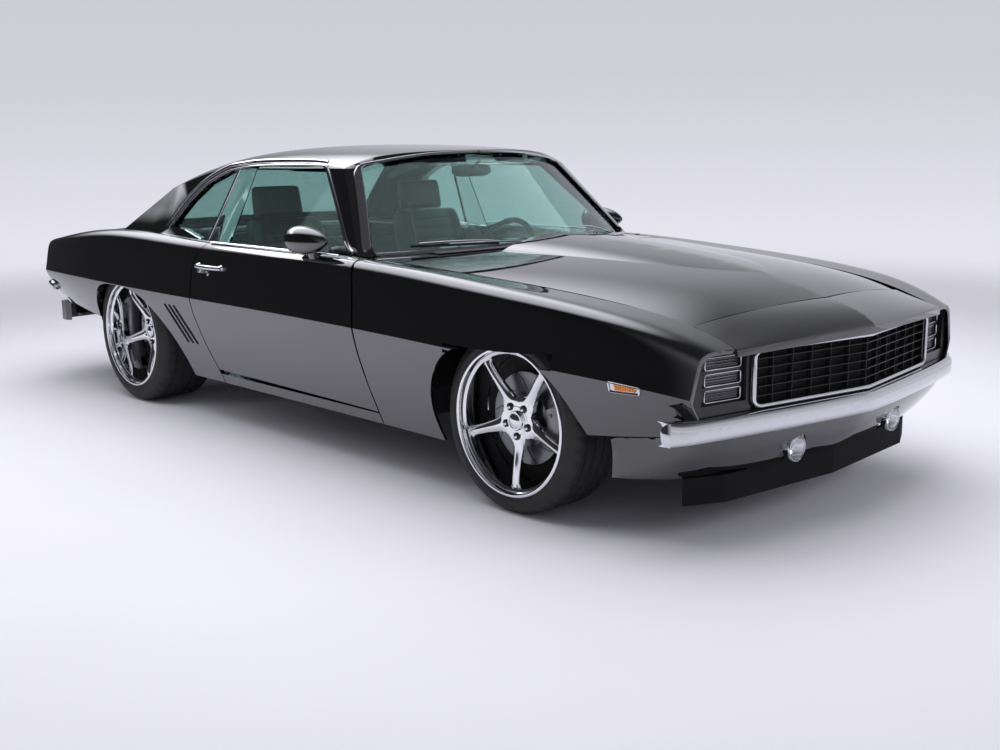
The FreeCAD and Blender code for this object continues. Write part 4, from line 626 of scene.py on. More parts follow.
for corner, side, sizes in (("front_left", 1, FRONT_WHEEL), ("front_right", -1, FRONT_WHEEL),
                            ("rear_left", 1, REAR_WHEEL), ("rear_right", -1, REAR_WHEEL)):
    place, radius, width, outer, dish, tip_depth = sizes
    body = "wheel_" + corner
    centre = at(side * outer * 1000, place, radius * 1000)
    axis = LEFT * side
    piece("tyre_tread_" + corner, *tyre_mesh(centre, axis, radius, width), RUBBER, "tyre", body, angle=42,
          stands_for=("tyre_" + corner,))
    lip = [(0.004, 0.2665), (0.0, 0.266), (-0.0012, 0.2635), (-0.0014, 0.2585), (0.0002, 0.2545), (0.0045, 0.2525),
           (0.013, 0.2518), (0.018, 0.2508), (0.0205, 0.248), (0.0215, 0.2435), (0.0235, 0.2405), (0.029, 0.2392)]
    deep = [(dish + 0.02, 0.2385), (dish + 0.04, 0.2365), (width - 0.03, 0.2385), (width - 0.008, 0.256),
            (width - 0.002, 0.264)]
    rim = lathe([(-e, r) for e, r in lip + deep], centre, axis, 112)
    star = star_mesh(centre, axis, dish - 0.012, tip_depth)
    face, plate = dish - 0.014, dish + 0.039
    hub = lathe(shifted(((0, 0.0), (0, 0.05), (-0.004, 0.055), (-0.05, 0.056)), face), centre, axis, 60)
    cap = lathe(shifted((
        (0.019, 0.0), (0.0185, 0.008), (0.016, 0.019), (0.0125, 0.0265), (0.0105, 0.0275), (0.0125, 0.029),
        (0.0125, 0.033), (0.009, 0.0355), (-0.002, 0.036)), face), centre, axis, 60)
    nuts, well_shades = [], []
    for k in range(5):
        seat = centre + spoke_way(axis, math.tau * k / 5) * 0.0565 - axis * (face - 0.001)
        nuts.append(nut(seat, axis, 0.0088, 0.012))
        well_shades.append(lathe([(0.0026, 0.0118), (0.0032, 0.0128), (0.0026, 0.0138), (-0.004, 0.0142)], seat, axis, 24))
        well_shades.append(lathe([(0.0006, 0.0), (0.0006, 0.0119), (0.0026, 0.0119)], seat, axis, 24))
    piece("rim_" + corner + "_wheel", *joined(rim, star, hub, cap, *nuts), RIM, "rim_chrome", body, angle=30,
          stands_for=("rim_" + corner,))
    # black rings and discs round the nuts: painted shade in the lug wells
    piece("rim_well_shade_" + corner, *joined(*well_shades), GRILLE, "black_trim", body)
    disc = shifted(((0, 0.062), (0, 0.098), (-0.001, 0.1), (0.0005, 0.103), (0.0005, 0.1665), (-0.001, 0.168),
                    (-0.022, 0.168), (-0.023, 0.1), (-0.023, 0.062)), plate)
    # dark strips on the disc's face stand for its slots: painted shade in the grooves
    slot_shades = []
    for k in range(10):
        line = [centre + spoke_way(axis, math.tau * k / 10 + 0.045 * step) * (0.108 + 0.0088 * step)
                - axis * (plate - 0.0006) for step in range(7)]
        slot_shades.append(tube(line, 0.0016, sides=6, flat=0.5, up=axis))
    piece("brake_disc_" + corner, *lathe(disc, centre, axis, 90), STEEL, "steel", body)
    piece("brake_slot_shade_" + corner, *joined(*slot_shades), BLACK_AND_SHADE, "cast_iron", body)
    # a near-black hat and back disc behind the brake disc: painted shade inside the wheel
    bell = lathe([(-face - 0.045, 0.057), (-plate + 0.002, 0.066), (-plate - 0.004, 0.098)], centre, axis, 60)
    back = lathe(shifted(((-0.03, 0.03), (-0.034, 0.2), (-0.03, 0.234)), plate), centre, axis, 60)
    piece("wheel_inner_shade_" + corner, *joined(bell, back), BLACK_AND_SHADE, "satin_black", body)
    # calipers ahead of the front discs and behind the rear ones
    start = math.radians(62) if side < 0 else math.radians(-62) - CALIPER_SPAN
    carrier = "knuckle_left" if side > 0 else "knuckle_right"
    if sizes is REAR_WHEEL:
        start, carrier = -start - CALIPER_SPAN, "chassis"
    shape = shifted(((0.020, 0.118), (0.023, 0.124), (0.023, 0.160), (0.017, 0.172), (0.006, 0.1775),
                     (-0.03, 0.1775), (-0.036, 0.17), (-0.036, 0.12), (-0.027, 0.118), (-0.0265, 0.1715),
                     (0.0035, 0.1715), (0.004, 0.118)), plate)
    caliper = lathe(shape, centre, axis, 26, closed=True, first=start, sweep=CALIPER_SPAN)
    bolts = [nut(centre + spoke_way(axis, start + CALIPER_SPAN * share) * 0.142 - axis * (plate - 0.023), axis,
                 0.008, 0.008) for share in (0.2, 0.8)]
    piece("caliper_" + corner, *joined(caliper, *bolts), CALIPER, "steel", carrier)


# lines on the body, glass and windows
def on_net(net, axes, a, b):
    """Where a net passes two given coordinates on the left side: the point and its outward normal."""
    spots = net.spots
    uv = net.grid[((spots[:, axes[0]] - a) ** 2 + (spots[:, axes[1]] - b) ** 2).argmin()][None]
    for _ in range(5):
        s, su, sv = net.points(uv)
        slope = np.array([[su[0][axis], sv[0][axis]] for axis in axes])
        miss = np.array([a - s[0][axes[0]], b - s[0][axes[1]]])
        uv = np.clip(uv + np.linalg.lstsq(slope, miss, rcond=None)[0], 0, 1)
    s, su, sv = net.points(uv)
    normal = Vector(np.cross(su[0], sv[0])).normalized()
    lead = normal.z if axes == (0, 1) else normal.x
    return Vector(s[0]), normal * (1 if lead > 0 else -1)


def skin(y, z, out=0.0):
    """A point of the body side in millimetres and its normal, on the left."""
    net = upper_net if z > 0.695 * BELT * 1000 else lower_net
    point, normal = on_net(net, (1, 2), AXLE + y / 1000, z / 1000)
    return point + LEFT * out, normal


def top_spot(x, y, lift=0.0):
    """A point on the hood and cowl surface from its place in millimetres."""
    point = on_net(hood_net, (0, 1), abs(x) / 1000, AXLE + y / 1000)[0]
    return Vector((math.copysign(point.x, x), point.y, point.z + lift))


def bowed(x):
    """How far a glass runs back from its foot at a half width, in millimetres."""
    return SCREEN_BOW * (x / BOW_HALF) ** 2


def screen_spot(x, z, lift=0.0):
    """A point of the windshield's outer face from its half width and height in millimetres."""
    y = SCREEN_FOOT + bowed(x) + SCREEN_LEAN * (z - GLASS_FOOT)
    normal = Vector((2 * SCREEN_BOW * x / BOW_HALF ** 2, -1, SCREEN_LEAN)).normalized()
    return at(x, y, z) + normal * lift, normal


def screen_height(x, y):
    return GLASS_FOOT + (y - SCREEN_FOOT - bowed(x)) / SCREEN_LEAN


def wall_spot(y, z, lift=0.0):
    """A point of the left greenhouse wall from its station and height in millimetres."""
    normal = Vector((0.906, 0, 0.4225))
    return at(822.4 - 172.4 * (z - 814.1) / 369.8, y, z) + normal * lift, normal


def through(pairs, steps=6):
    """A smooth line through pairs that are its points' y and z."""
    return curved([(0, a, b) for a, b in pairs], steps)


def trimmed(name, spots, half_widths, thick):
    both_sides(name, *strip(spots, half_widths, thick), CHROME, "chrome", "chassis")


outline = through(((742, 869), (739, 884), (690, 978), (640, 1075), (592, 1172), (578, 1188), (548, 1199),
                   (420, 1219), (282, 1234), (140, 1241), (0, 1243)))
trimmed("windshield_moulding",
        [screen_spot(p.y + 4 + 12 * (1 - smooth_step(1150, 1210, p.z)), p.z + 3, 0.001) for p in outline],
        [0.0185 - 0.0135 * smooth_step(1150, 1215, p.z) for p in outline], 0.0042)
foot = []
for x in np.linspace(0, 742, 26):
    z = 870.0
    for _ in range(8):
        y = SCREEN_FOOT + bowed(x) + SCREEN_LEAN * (z - GLASS_FOOT)
        z = top_spot(x, y).z * 1000
    foot.append(screen_spot(x, z + 6, 0.0015))
trimmed("windshield_base_moulding", foot, 0.007, 0.004)
outline = through(((962, 858), (1016, 890), (1166, 1034), (1318, 1176), (1336, 1188), (1372, 1194), (1600, 1193),
                   (1865, 1187), (1990, 1176), (2088, 1162), (2180, 1131), (2252, 1097), (2310, 1055),
                   (2358, 1012), (2405, 955), (2441, 905)))
trimmed("side_window_moulding", [wall_spot(p.y, p.z, 0.0012) for p in outline],
        [0.0105 if p.y < 1300 else 0.0105 - 0.0065 * min((p.y - 1300) / 80, 1) for p in outline], 0.004)
rail = []
for p in through(((1334, 1207), (1420, 1212), (1600, 1213), (1860, 1207), (1990, 1196), (2098, 1181), (2198, 1147),
                  (2276, 1109), (2338, 1063), (2388, 1018), (2436, 959), (2482, 893))):
    point, normal = wall_spot(p.y, min(p.z, 1184))
    over = max(p.z - 1184, 0) / 1000
    rail.append((point + Vector((-over * 0.8, 0, over)) + normal * 0.005, normal))
trimmed("drip_rail", rail, 0.0075, 0.006)
trimmed("quarter_glass_bar", [wall_spot(2012 + (z - 1176) * -0.19, z, -0.004) for z in np.linspace(850, 1172, 14)],
        0.0085, 0.006)
frame_spots = []
for p in through(((677, 906), (672, 920), (541, 1138), (513, 1158), (462, 1174), (282, 1194), (0, 1201)), 8):
    x, z = p.y + 5, p.z + 3
    normal = Vector((2 * REAR_BOW_SHARE * SCREEN_BOW * p.y / BOW_HALF ** 2, 1, REAR_LEAN)).normalized()
    y = REAR_FOOT - REAR_BOW_SHARE * bowed(x) - REAR_LEAN * (z - GLASS_FOOT)
    frame_spots.append((at(x, y, z) + normal * 0.001, normal))
trimmed("rear_window_moulding", frame_spots, 0.010, 0.004)
tilt = Vector((0.5, 0, 1)).normalized()
belt = strip([(skin(y, 838)[0] + Vector((-0.012, 0, 0.012)), tilt) for y in np.linspace(985, 1950, 30)], 0.006, 0.004)
piece("door_belt_moulding_left", *belt, CHROME, "chrome", "door_left")
piece("door_belt_moulding_right", *mirrored(*belt), CHROME, "chrome", "door_right")


# grille: bright surround, deep black cells with thin bright edges, and a near-black backing plate that is painted shade
# behind the cells
def face_spot(x, z, back):
    """A point of the nose's face, which sweeps back to each side."""
    return at(x, -884.6 + 0.16 * abs(x) + back, z)


GRILLE_HALF, GRILLE_FOOT, GRILLE_RISE, CELLS = 538, 462, 181, 6
outline = [(x, GRILLE_FOOT) for x in np.linspace(0, 470, 12)]
for z, first in ((487, -90), (618, 0)):
    for k in range(7):
        t = math.radians(first + 15 * k)
        outline.append((512 + 33 * math.cos(t), z + 25 * math.sin(t)))
outline += [(x, GRILLE_FOOT + GRILLE_RISE) for x in np.linspace(470, 0, 12)]
rings = []
for inset, back in ((-7, 5), (-7, -3), (-4.5, -7.5), (0, -9), (4.5, -7.5), (7, -3), (7, 5)):
    ring = []
    for i, (x, z) in enumerate(outline):
        ahead, behind = outline[min(i + 1, len(outline) - 1)], outline[max(i - 1, 0)]
        dx, dz = ahead[0] - behind[0], ahead[1] - behind[1]
        size = math.hypot(dx, dz)
        ring.append(face_spot(max(x + dz / size * inset, 0), z - dx / size * inset, back))
    rings.append(ring)
surround = loft(rings, closed=False)
fins, edges = [], []
for side in (1, -1):
    rows = [(np.linspace(0, side * GRILLE_HALF, 10), [GRILLE_FOOT + GRILLE_RISE * k / CELLS] * 10,
             0.016, 0.0095, 0.0014, 0.0016) for k in range(1, CELLS)]
    rows += [([side * GRILLE_HALF * k / CELLS] * 4, (464, 520, 580, 641), 0.014, 0.0115, 0.0013, 0.0014)
             for k in range(0 if side > 0 else 1, CELLS)]
    for xs, zs, depth, back, half, thick in rows:
        line = [face_spot(x, z, 0) for x, z in zip(xs, zs)]
        fins.append(strip([(p + BACK * 0.026, FORWARD) for p in line], 0.0012, depth))
        edges.append(strip([(p + BACK * back, FORWARD) for p in line], half, thick))
    # a near-black plate behind the cells: painted shade
    plate = [[face_spot(side * x, z, 36) for x in (0, 180, 360, 541)] for z in (446, 655)]
    fins.append(loft(plate, closed=False))
piece("grille_surround", *joined(surround, mirrored(*surround)), CHROME, "chrome", "chassis", angle=50,
      stands_for=("grille",))
piece("grille_fins_and_shade", *joined(*fins), BLACK_AND_SHADE, "grille_black", "chassis")
piece("grille_edges", *joined(*edges), BRIGHT, "chrome", "chassis")

# headlamp covers: three windows on each side, each with a thin bright frame and bars
frames, bars, backs = [], [], []
for row in range(3):
    foot = 490 + row * 51.67
    low, high = foot + 1.5, foot + 42
    loop = rounded(585, 722, low + 9, high - 9, 8)
    frames.append(tube([face_spot(x, z, 24) for x, z in loop], 0.0021, sides=8, closed=True))
    for z in [low + 7 + k * (high - low - 14) / 3 for k in range(4)]:
        bars.append(tube([face_spot(x, z, 30) for x in np.linspace(584, 723, 8)], 0.0014, sides=8))
    backs.append(loft([[face_spot(x, z, 33.5) for x in (578, 660, 746)] for z in (foot, foot + 43.6)], closed=False))
both_sides("headlamp_window_frames", *joined(*frames), CHROME, "chrome", "chassis")
both_sides("headlamp_bars", *joined(*bars), SMOKED, "chrome", "chassis")
both_sides("headlamp_window_backs", *joined(*backs), GRILLE, "grille_black", "chassis")

# fog lamps: bowl, ring and a clear domed lens
for side, name in ((1, "left"), (-1, "right")):
    centre = at(side * 309, -809, 288)
    bowl = lathe([(0.002, 0.0435), (-0.012, 0.038), (-0.026, 0.024), (-0.032, 0.008), (-0.0325, 0.0)], centre,
                 FORWARD, 48)
    ring = lathe([(-0.02, 0.0474), (-0.004, 0.0476), (0.003, 0.0476), (0.0065, 0.0465), (0.0075, 0.0445),
                  (0.005, 0.0425), (0.0, 0.0422)], centre, FORWARD, 64)
    bulb = lathe([(-0.03, 0.011), (-0.012, 0.011), (-0.008, 0.009), (-0.007, 0.0)], centre, FORWARD, 32)
    lens = lathe([(0.0128, 0.0), (0.0124, 0.012), (0.0104, 0.024), (0.0064, 0.036), (0.001, 0.0426), (0.003, 0.0428),
                  (0.0085, 0.036), (0.0125, 0.024), (0.0145, 0.012), (0.015, 0.0)], centre, FORWARD, 64)
    piece("fog_reflector_" + name, *joined(bowl, ring, bulb), CHROME, "chrome", "chassis", angle=40)
    piece("fog_lens_" + name, *lens, LENS, "lamp", "chassis", stands_for=("fog_lamps",))

# bumper blades, with their surfaces as nets: half width shares and how far they sweep back in wheelbases
BLADE, BLADE_HEIGHT = ((0.34, 1.0), (0.0, 0.95), (0.0, 0.5), (0.0, 0.08), (0.26, 0.0)), 0.078
front_line = [(x * HALF, -0.915 + y * WB) for x, y in (
    (0, 0), (0.3, 0.0125), (0.6, 0.031), (0.84, 0.047), (0.905, 0.055), (0.93, 0.068))]
rear_line = [(x * HALF, 3.809 - y * WB) for x, y in (
    (0, 0), (0.5, 0.0048), (0.82, 0.0136), (0.897, 0.0216), (0.918, 0.0346), (0.922, 0.0546))]
for node, line, way, foot in (("bumper_front", front_line, -1, 0.372), ("bumper_rear", rear_line, 1, 0.469)):
    net = Net([[(x, y - way * inset * BLADE_HEIGHT + AXLE, foot + rise * BLADE_HEIGHT) for x, y in line]
               for inset, rise in BLADE])
    gloss_panel(node, (net,), CHROME)

# rounded caps on the ends of the front blade
(x1, y1), (x0, y0) = front_line[-2:]
way_on = Vector((x0 - x1, y0 - y1, 0)).normalized()
inward = Vector((-way_on.y, way_on.x, 0))
rings = []
for step in range(9):
    t = step / 8
    scale = math.sqrt(1 - 0.93 * t * t)
    middle = Vector((x0, y0 + AXLE, 0.411)) + way_on * (0.034 * t - 0.002) + inward * (0.013 * (1 - scale))
    rings.append([middle + inward * (depth * BLADE_HEIGHT * scale) + Vector((0, 0, rise * 0.076 * scale))
                  for depth, rise in ((0.0, 0.5), (-0.012, 0.47), (-0.03, 0.40), (-0.1, 0.2), (-0.1, 0.0), (-0.1, -0.2),
                                      (-0.03, -0.40), (-0.012, -0.47), (0.0, -0.5), (0.3, -0.48), (0.3, 0.48))])
# the rear blade wraps round the corner of the body with a short bright end
wrap = [(p + n * 0.009, n) for p, n in [skin(y, 508) for y in np.linspace(3768, 3672, 14)]]
spans = [0.034 * math.sqrt(max(1 - t ** 3, 0.04)) for t in np.linspace(0, 1, 14)]
both_sides("bumper_end_caps", *joined(loft(rings), strip(wrap, spans, 0.016)), CHROME, "chrome", "chassis", angle=50)

# side markers: bright rounded bezel, ribbed amber inner
bezel = tube([skin(y, z, 0.0035)[0] for y, z in rounded(-597, -504, 528, 550, 7)], 0.0038, sides=8, closed=True)
backing = [[skin(y, z, 0.002)[0] for y in np.linspace(-600, -501, 8)] for z in np.linspace(524, 554, 4)]
both_sides("side_marker_bezels", *joined(bezel, loft(backing, closed=False)), CHROME, "chrome", "chassis",
           stands_for=("side_markers",))
blocks = [strip([(skin(-589 + k * 8.2, z, 0.0045)[0], LEFT) for z in (529, 539, 549)], 0.0041, 0.004) for k in range(9)]
both_sides("side_marker_lenses", *joined(*blocks), AMBER, "amber_lamp", "chassis")

# three slanted gills ahead of each rear wheel: dark strips laid on the skin are painted shade in the slots, each with a
# raised lip
slot_shades, lips = [], []
taper = [0.0062 * min(1, 0.25 + 3 * t, 0.25 + 3 * (1 - t)) for t in np.linspace(0, 1, 12)]
for k in range(3):
    points = [skin(2296 - 42 * k - 146 * t, 548 - 178 * t) for t in np.linspace(0.03, 1, 12)]
    slot_shades.append(strip([(p + n * 0.0006, n) for p, n in points], taper, 0.0012))
    lips.append(strip([(p + n * 0.001 + BACK * 0.0085, n) for p, n in points], [t * 0.45 for t in taper], 0.0034))
both_sides("gill_shade_strips", *joined(*slot_shades), BLACK_AND_SHADE, "black_trim", "chassis")
both_sides("gill_lips", *joined(*lips), PAINT, "black_paint", "chassis")

# door handles and bullet mirrors
grip = [skin(y, 745, 0.026 - 0.016 * abs((y - 1890) / 112) ** 3)[0] for y in np.linspace(1782, 1998, 15)]
parts = [tube(grip, [0.0068 + 0.0012 * math.sin(math.pi * k / 14) for k in range(15)], sides=12, flat=1.25,
              up=(0, 0, 1))]
for y in (1796, 1982):
    parts.append(tube([skin(y, 745, out)[0] for out in (-0.002, 0.006, 0.02)], [0.019, 0.015, 0.0085], sides=20,
                      flat=0.75, up=(0, 0, 1)))
parts.append(lathe([(-0.004, 0.0135), (0.012, 0.0135), (0.015, 0.0115), (0.0155, 0.0)], skin(1962, 727)[0], LEFT, 36))
parts.append(lathe([(-0.003, 0.0115), (0.0035, 0.0115), (0.005, 0.0095), (0.0045, 0.0)], skin(1905, 716)[0], LEFT, 36))
handle = joined(*parts)


def flattened(form, centre):
    """A turned form made a little lower than wide."""
    return [Vector((v.x, v.y, centre.z + (v.z - centre.z) * 0.94)) for v in form[0]], form[1]


for side, name in ((1, "left"), (-1, "right")):
    body = "door_" + name
    piece("door_handle_" + name, *(handle if side > 0 else mirrored(*handle)), CHROME, "chrome", body,
          stands_for=("door_fittings_" + name,))
    centre = at(side * 888, 1240, 903)
    shell = lathe([(1.28 * a, 1.29 * r) for a, r in (
        (-0.004, 0.0), (-0.004, 0.036), (0.0, 0.0405), (0.006, 0.044), (0.03, 0.0468), (0.06, 0.0465), (0.09, 0.043),
        (0.12, 0.0355), (0.145, 0.0255), (0.163, 0.0145), (0.172, 0.006), (0.174, 0.0))], centre, FORWARD, 64)
    stalk = [at(side * x, y, z) for x, y, z in ((884, 1150, 872), (874, 1146, 856), (866, 1142, 842), (858, 1140, 826))]
    foot = tube(stalk, [0.013, 0.014, 0.017, 0.024], sides=24, flat=2.2, up=(0, 1, 0))
    piece("door_mirror_" + name, *joined(flattened(shell, centre), foot), PAINT, "black_paint", body, angle=50)
    seam = lathe([(0.0105, 0.0576), (0.012, 0.0586), (0.0135, 0.0580)], centre, FORWARD, 64)
    piece("mirror_seam_" + name, *flattened(seam, centre), TRIM, "black_trim", body)
    glass = lathe([(-0.0062, 0.0), (-0.0062, 0.0440), (-0.004, 0.0455)], centre, FORWARD, 48)
    piece("mirror_glass_" + name, *flattened(glass, centre), CHROME, "chrome", body)

# wipers: arms from the cowl, with sprung joints and ribbed blades on the glass
arms, rubbers = [], []
for pivot, bends, (first, last) in (((604, 832), ((330, 742), (128, 706)), ((-62, 640), (392, 724))),
                                    ((-92, 640), ((-300, 664), (-470, 742)), ((-610, 800), (-250, 690)))):
    base = top_spot(*pivot, 0.004)
    arms.append(lathe([(-0.006, 0.017), (0.012, 0.016), (0.017, 0.012), (0.0185, 0.0)], base, (0, 0, 1), 32))
    line = [base + Vector((0, 0, 0.010))]
    line += [screen_spot(x, max(screen_height(x, y), 872), 0.022)[0] for x, y in bends]
    arms.append(tube(curved(line), [0.0068 - 0.0032 * k / 16 for k in range(17)], sides=10, flat=0.55, up=(0, 0, 1)))
    spots = []
    for k in range(13):
        x, y = (a + (b - a) * (k / 12) for a, b in zip(first, last))
        spots.append(screen_spot(x, max(screen_height(x, y), 876), 0.007)[0])
    rubbers.append(tube(spots, 0.0035, sides=6, flat=2.0, up=(0, -0.66, 0.75)))
    raised = [p + Vector((0, -0.006, 0.009 + 0.006 * math.sin(math.pi * k / 12))) for k, p in enumerate(spots)]
    arms.append(tube(raised[1:12], 0.0028, sides=8))
    for k in (1, 4, 8, 11):
        arms.append(tube([raised[k], spots[k] + Vector((0, 0, 0.002))], 0.003, sides=8))
piece("wiper_arms", *joined(*arms), CHROME, "chrome", "chassis", stands_for=("wipers",))
piece("wiper_blades", *joined(*rubbers), SEAL, "black_trim", "chassis")


# cowl vent: fine louvres over a near-black tray ahead of the windshield, the tray being painted shade in the vent's
# openings
def vent_spot(x, back, lift):
    """A point of the vent, in millimetres back from its front edge, which bows with the glass."""
    return top_spot(x, 588 + bowed(x) * 0.9 + back, lift)


vent_shades, louvres = [], []
for side in (1, -1):
    vent_shades.append(loft([[vent_spot(side * x, back, 0.0012) for x in np.linspace(20, 560, 24)] for back in (0, 46)],
                      closed=False))
    for x in [side * (24 + k * 13) for k in range(42)]:
        louvres.append(tube([vent_spot(x, back, lift) for back, lift in ((1, 0.0035), (23, 0.005), (45, 0.0035))],
                            0.0028, sides=6))
    for back in (-2, 48):
        louvres.append(tube([vent_spot(side * x, back, 0.003) for x in np.linspace(14, 566, 24)], 0.003, sides=8))
piece("cowl_vent_shade", *joined(*vent_shades), BLACK_AND_SHADE, "black_trim", "chassis")
piece("cowl_louvres", *joined(*louvres), GRILLE, "black_trim", "chassis")


# interior
def pad(name, low_end, high_end, x_low, x_high, thick, body, grooves=0, bolster=0.0, crown=0.012, taper=0.0,
        stands_for=()):
    """A sewn, crowned cushion between two points of its middle line (station, height in millimetres)."""
    start, end = at(0, *low_end), at(0, *high_end)
    along = end - start
    length = along.length
    along.normalize()
    face = LEFT.cross(along)
    # the crowned side looks up on a cushion and forward on a back
    if face.z < 0 and abs(face.z) > 0.5 or abs(face.z) <= 0.5 and face.y > 0:
        face = -face
    middle, half = (x_low + x_high) / 2000, abs(x_high - x_low) / 2000
    rings, count, around = [], 84, 80
    channels, channel_span = 0.12, 0.78
    for i in range(count + 1):
        share = 0.5 - 0.5 * math.cos(math.pi * i / count)
        edge = max(1 - abs(2 * share - 1) ** 7, 0.0) ** (1 / 2.6)
        wide = max(1 - abs(2 * share - 1) ** 9, 0.0) ** (1 / 4)
        reach = half * (1 - taper * share) * (0.86 + 0.14 * wide)
        rings.append([])
        for k in range(around):
            turn = math.tau * k / around
            c, s = math.cos(turn), math.sin(turn)
            x = math.copysign(abs(c) ** 0.34, c)
            n = math.copysign(abs(s) ** 0.42, s)
            lift = n * thick / 2 * edge
            if n > 0:
                lift += crown * (1 - x * x) * edge * n
                lift += bolster * smooth_step(0.62, 0.82, abs(x)) * edge * n
                if grooves and channels < share < 0.9:
                    phase = (share - channels) / channel_span * grooves
                    near = abs(phase - round(phase)) / grooves * channel_span * length
                    inner = 1 - min(max((abs(x) - 0.6) / 0.06, 0), 1)
                    lift -= 0.010 * math.exp(-(near / 0.006) ** 2) * inner * n
                seam = (abs(x) - 0.63) * half
                lift -= 0.008 * math.exp(-(seam / 0.005) ** 2) * edge * n
            welt = math.exp(-(abs(n) / 0.16) ** 2) * 0.004 * edge
            rings[-1].append(start + along * (length * share) + face * lift + LEFT * (middle + x * (reach + welt)))
    obj = piece(name, *loft(rings), VINYL, "seat_cloth", body, angle=60, stands_for=stands_for)


for side, name in ((1, "left"), (-1, "right")):
    pad("seat_cushion_" + name, (1382, 378), (1890, 338), side * 204, side * 676, 0.13, "chassis", grooves=7,
        bolster=0.022, stands_for=("seats_front",) if side > 0 else ())
    pad("seat_back_" + name, (1868, 400), (2004, 935), side * 212, side * 668, 0.105, "chassis", grooves=8,
        bolster=0.020, taper=0.16)
    pad("headrest_" + name, (2028, 938), (2052, 1084), side * 312, side * 568, 0.074, "chassis", crown=0.014,
        taper=0.06)
    pad("rear_cushion_" + name, (2146, 452), (2480, 474), side * 10, side * 522, 0.115, "chassis", grooves=5,
        crown=0.016, stands_for=("seat_rear",) if side > 0 else ())
    pad("rear_back_" + name, (2532, 500), (2648, 858), side * 10, side * 522, 0.092, "chassis", grooves=5, crown=0.014)
    base = block(at(min(side * 230, side * 650), 1400, 219), at(max(side * 230, side * 650), 1880, 312), 0.012)
    posts = [tube([at(side * x, 1998, 915), at(side * x, 2030, 952)], 0.0055, sides=10) for x in (390, 490)]
    piece("seat_base_" + name, *joined(base, *posts), TRIM, "black_trim", "chassis")

# steering wheel: a rim with finger grips, three spokes and a boss on its column
centre, lean = at(370, 1330, 745), Vector((0, 0.92, 0.39)).normalized()
flat_up = LEFT.cross(lean)
turns = [math.tau * k / 72 for k in range(72)]
ring = [centre + LEFT * 0.184 * math.cos(t) + flat_up * 0.184 * math.sin(t) for t in turns]
rim_form = tube(ring, [0.0135 + 0.0012 * math.cos(t * 18) for t in turns], sides=14, closed=True)
spokes = []
for t in (0, math.pi, 1.5 * math.pi):
    way = LEFT * math.cos(t) + flat_up * math.sin(t)
    spokes.append(tube([centre + way * 0.03 + lean * 0.02, centre + way * 0.1 + lean * 0.012, centre + way * 0.178],
                       [0.018, 0.014, 0.011], sides=14, flat=0.35, up=lean))
boss = lathe([(0.055, 0.03), (0.02, 0.046), (0.0, 0.05), (-0.012, 0.044), (-0.018, 0.03), (-0.02, 0.0)], centre,
             lean, 48)
stem = lathe([(0.055, 0.024), (0.26, 0.026)], centre, lean, 32)
piece("steering_rim", *joined(rim_form, boss, stem), TRIM, "black_trim", body_of("steering_wheel"),
      stands_for=("steering_wheel",))
piece("steering_spokes", *joined(*spokes), STEEL, "steel", body_of("steering_wheel"))
bezels, dials = [], []
aim = Vector((0, 0.98, 0.2)).normalized()
for spot in [at(x, 1118, 742) for x in (250, 370, 490)]:
    bezels.append(lathe([(-0.004, 0.047), (0.004, 0.048), (0.006, 0.045), (0.003, 0.042)], spot, aim, 48))
    dials.append(lathe([(0.0, 0.0), (0.0008, 0.043)], spot, aim, 48))
piece("gauge_bezels", *joined(*bezels), CHROME, "chrome", "chassis")
piece("gauge_faces", *joined(*dials), BLACK_AND_SHADE, "black_trim", "chassis")
line = [at(x, 1137 + (1 - abs(x) / 116) * 6, 1161) for x in np.linspace(-114, 114, 15)]
shell = tube(line, [0.024 * (1 - (abs(k - 7) / 7.6) ** 6) + 0.004 for k in range(15)], sides=20, flat=0.42,
             up=(0, 1, 0))
stalk = tube(curved([at(0, 1128, 1172), at(0, 1104, 1188), at(0, 1082, 1206)], 5), 0.006, sides=10)
piece("rear_view_mirror", *joined(shell, stalk), TRIM, "black_trim", "chassis", stands_for=("inside_mirror",))


# tail lamps: three ribbed lenses a side in a bright frame
def tail_spot(x, z, back):
    return at(x, 3738.5 - x / 752 * 30 + back, z)


lenses, rims = [], []
for x0 in (344, 480, 616):
    loop = rounded(x0 + 12, x0 + 116, 573, 664, 11, 6)
    rims.append(tube([tail_spot(x, z, -4) for x, z in loop], 0.0036, sides=8, closed=True))
    for z in [574 + j * 18 for j in range(6)]:
        lenses.append(strip([(tail_spot(x, z, -9), BACK) for x in np.linspace(x0 + 4, x0 + 124, 8)], 0.0086, 0.008))
both_sides("tail_lamp_lenses", *joined(*lenses), RED, "red_lamp", "chassis")
both_sides("tail_lamp_frames", *joined(*rims), CHROME, "chrome", "chassis")

# floor, which thins out into the backdrop far from the object
FLOOR = node_material("studio_floor", (0.84, 0.83, 0.90), 0.12, grain=1.2, bump=0.0, tint=0.01, spread=0.15,
                      specular=0.0)
tree = FLOOR.node_tree
away = add_node(tree, "VectorMath", {0: tree.nodes["Texture Coordinate"].outputs["Object"]}, "LENGTH")
feed(tree, tree.nodes["Principled BSDF"], {"Alpha": ranged(tree, away.outputs["Value"], 3.6, 9.0, 1.0, 0.0)})
mesh = bpy.data.meshes.new("studio_floor")
mesh.from_pydata([(x, y, -0.0005) for x, y in ((-40, -40), (40, -40), (40, 40), (-40, 40))], [], [(0, 1, 2, 3)])
obj = linked("studio_floor", mesh)
give(obj, FLOOR)
obj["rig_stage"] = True

# backdrop: a pale ramp from below the horizon to the ceiling
world = bpy.data.worlds.new("studio")
bpy.context.scene.world = world
world.use_nodes = True
tree = world.node_tree


def maths(operation, *values):
    return add_node(tree, "Math", dict(enumerate(values)), operation).outputs[0]


def facing(way):
    """How nearly a ray runs along a direction."""
    return add_node(tree, "VectorMath", {0: toward, 1: way}, "DOT_PRODUCT").outputs["Value"]


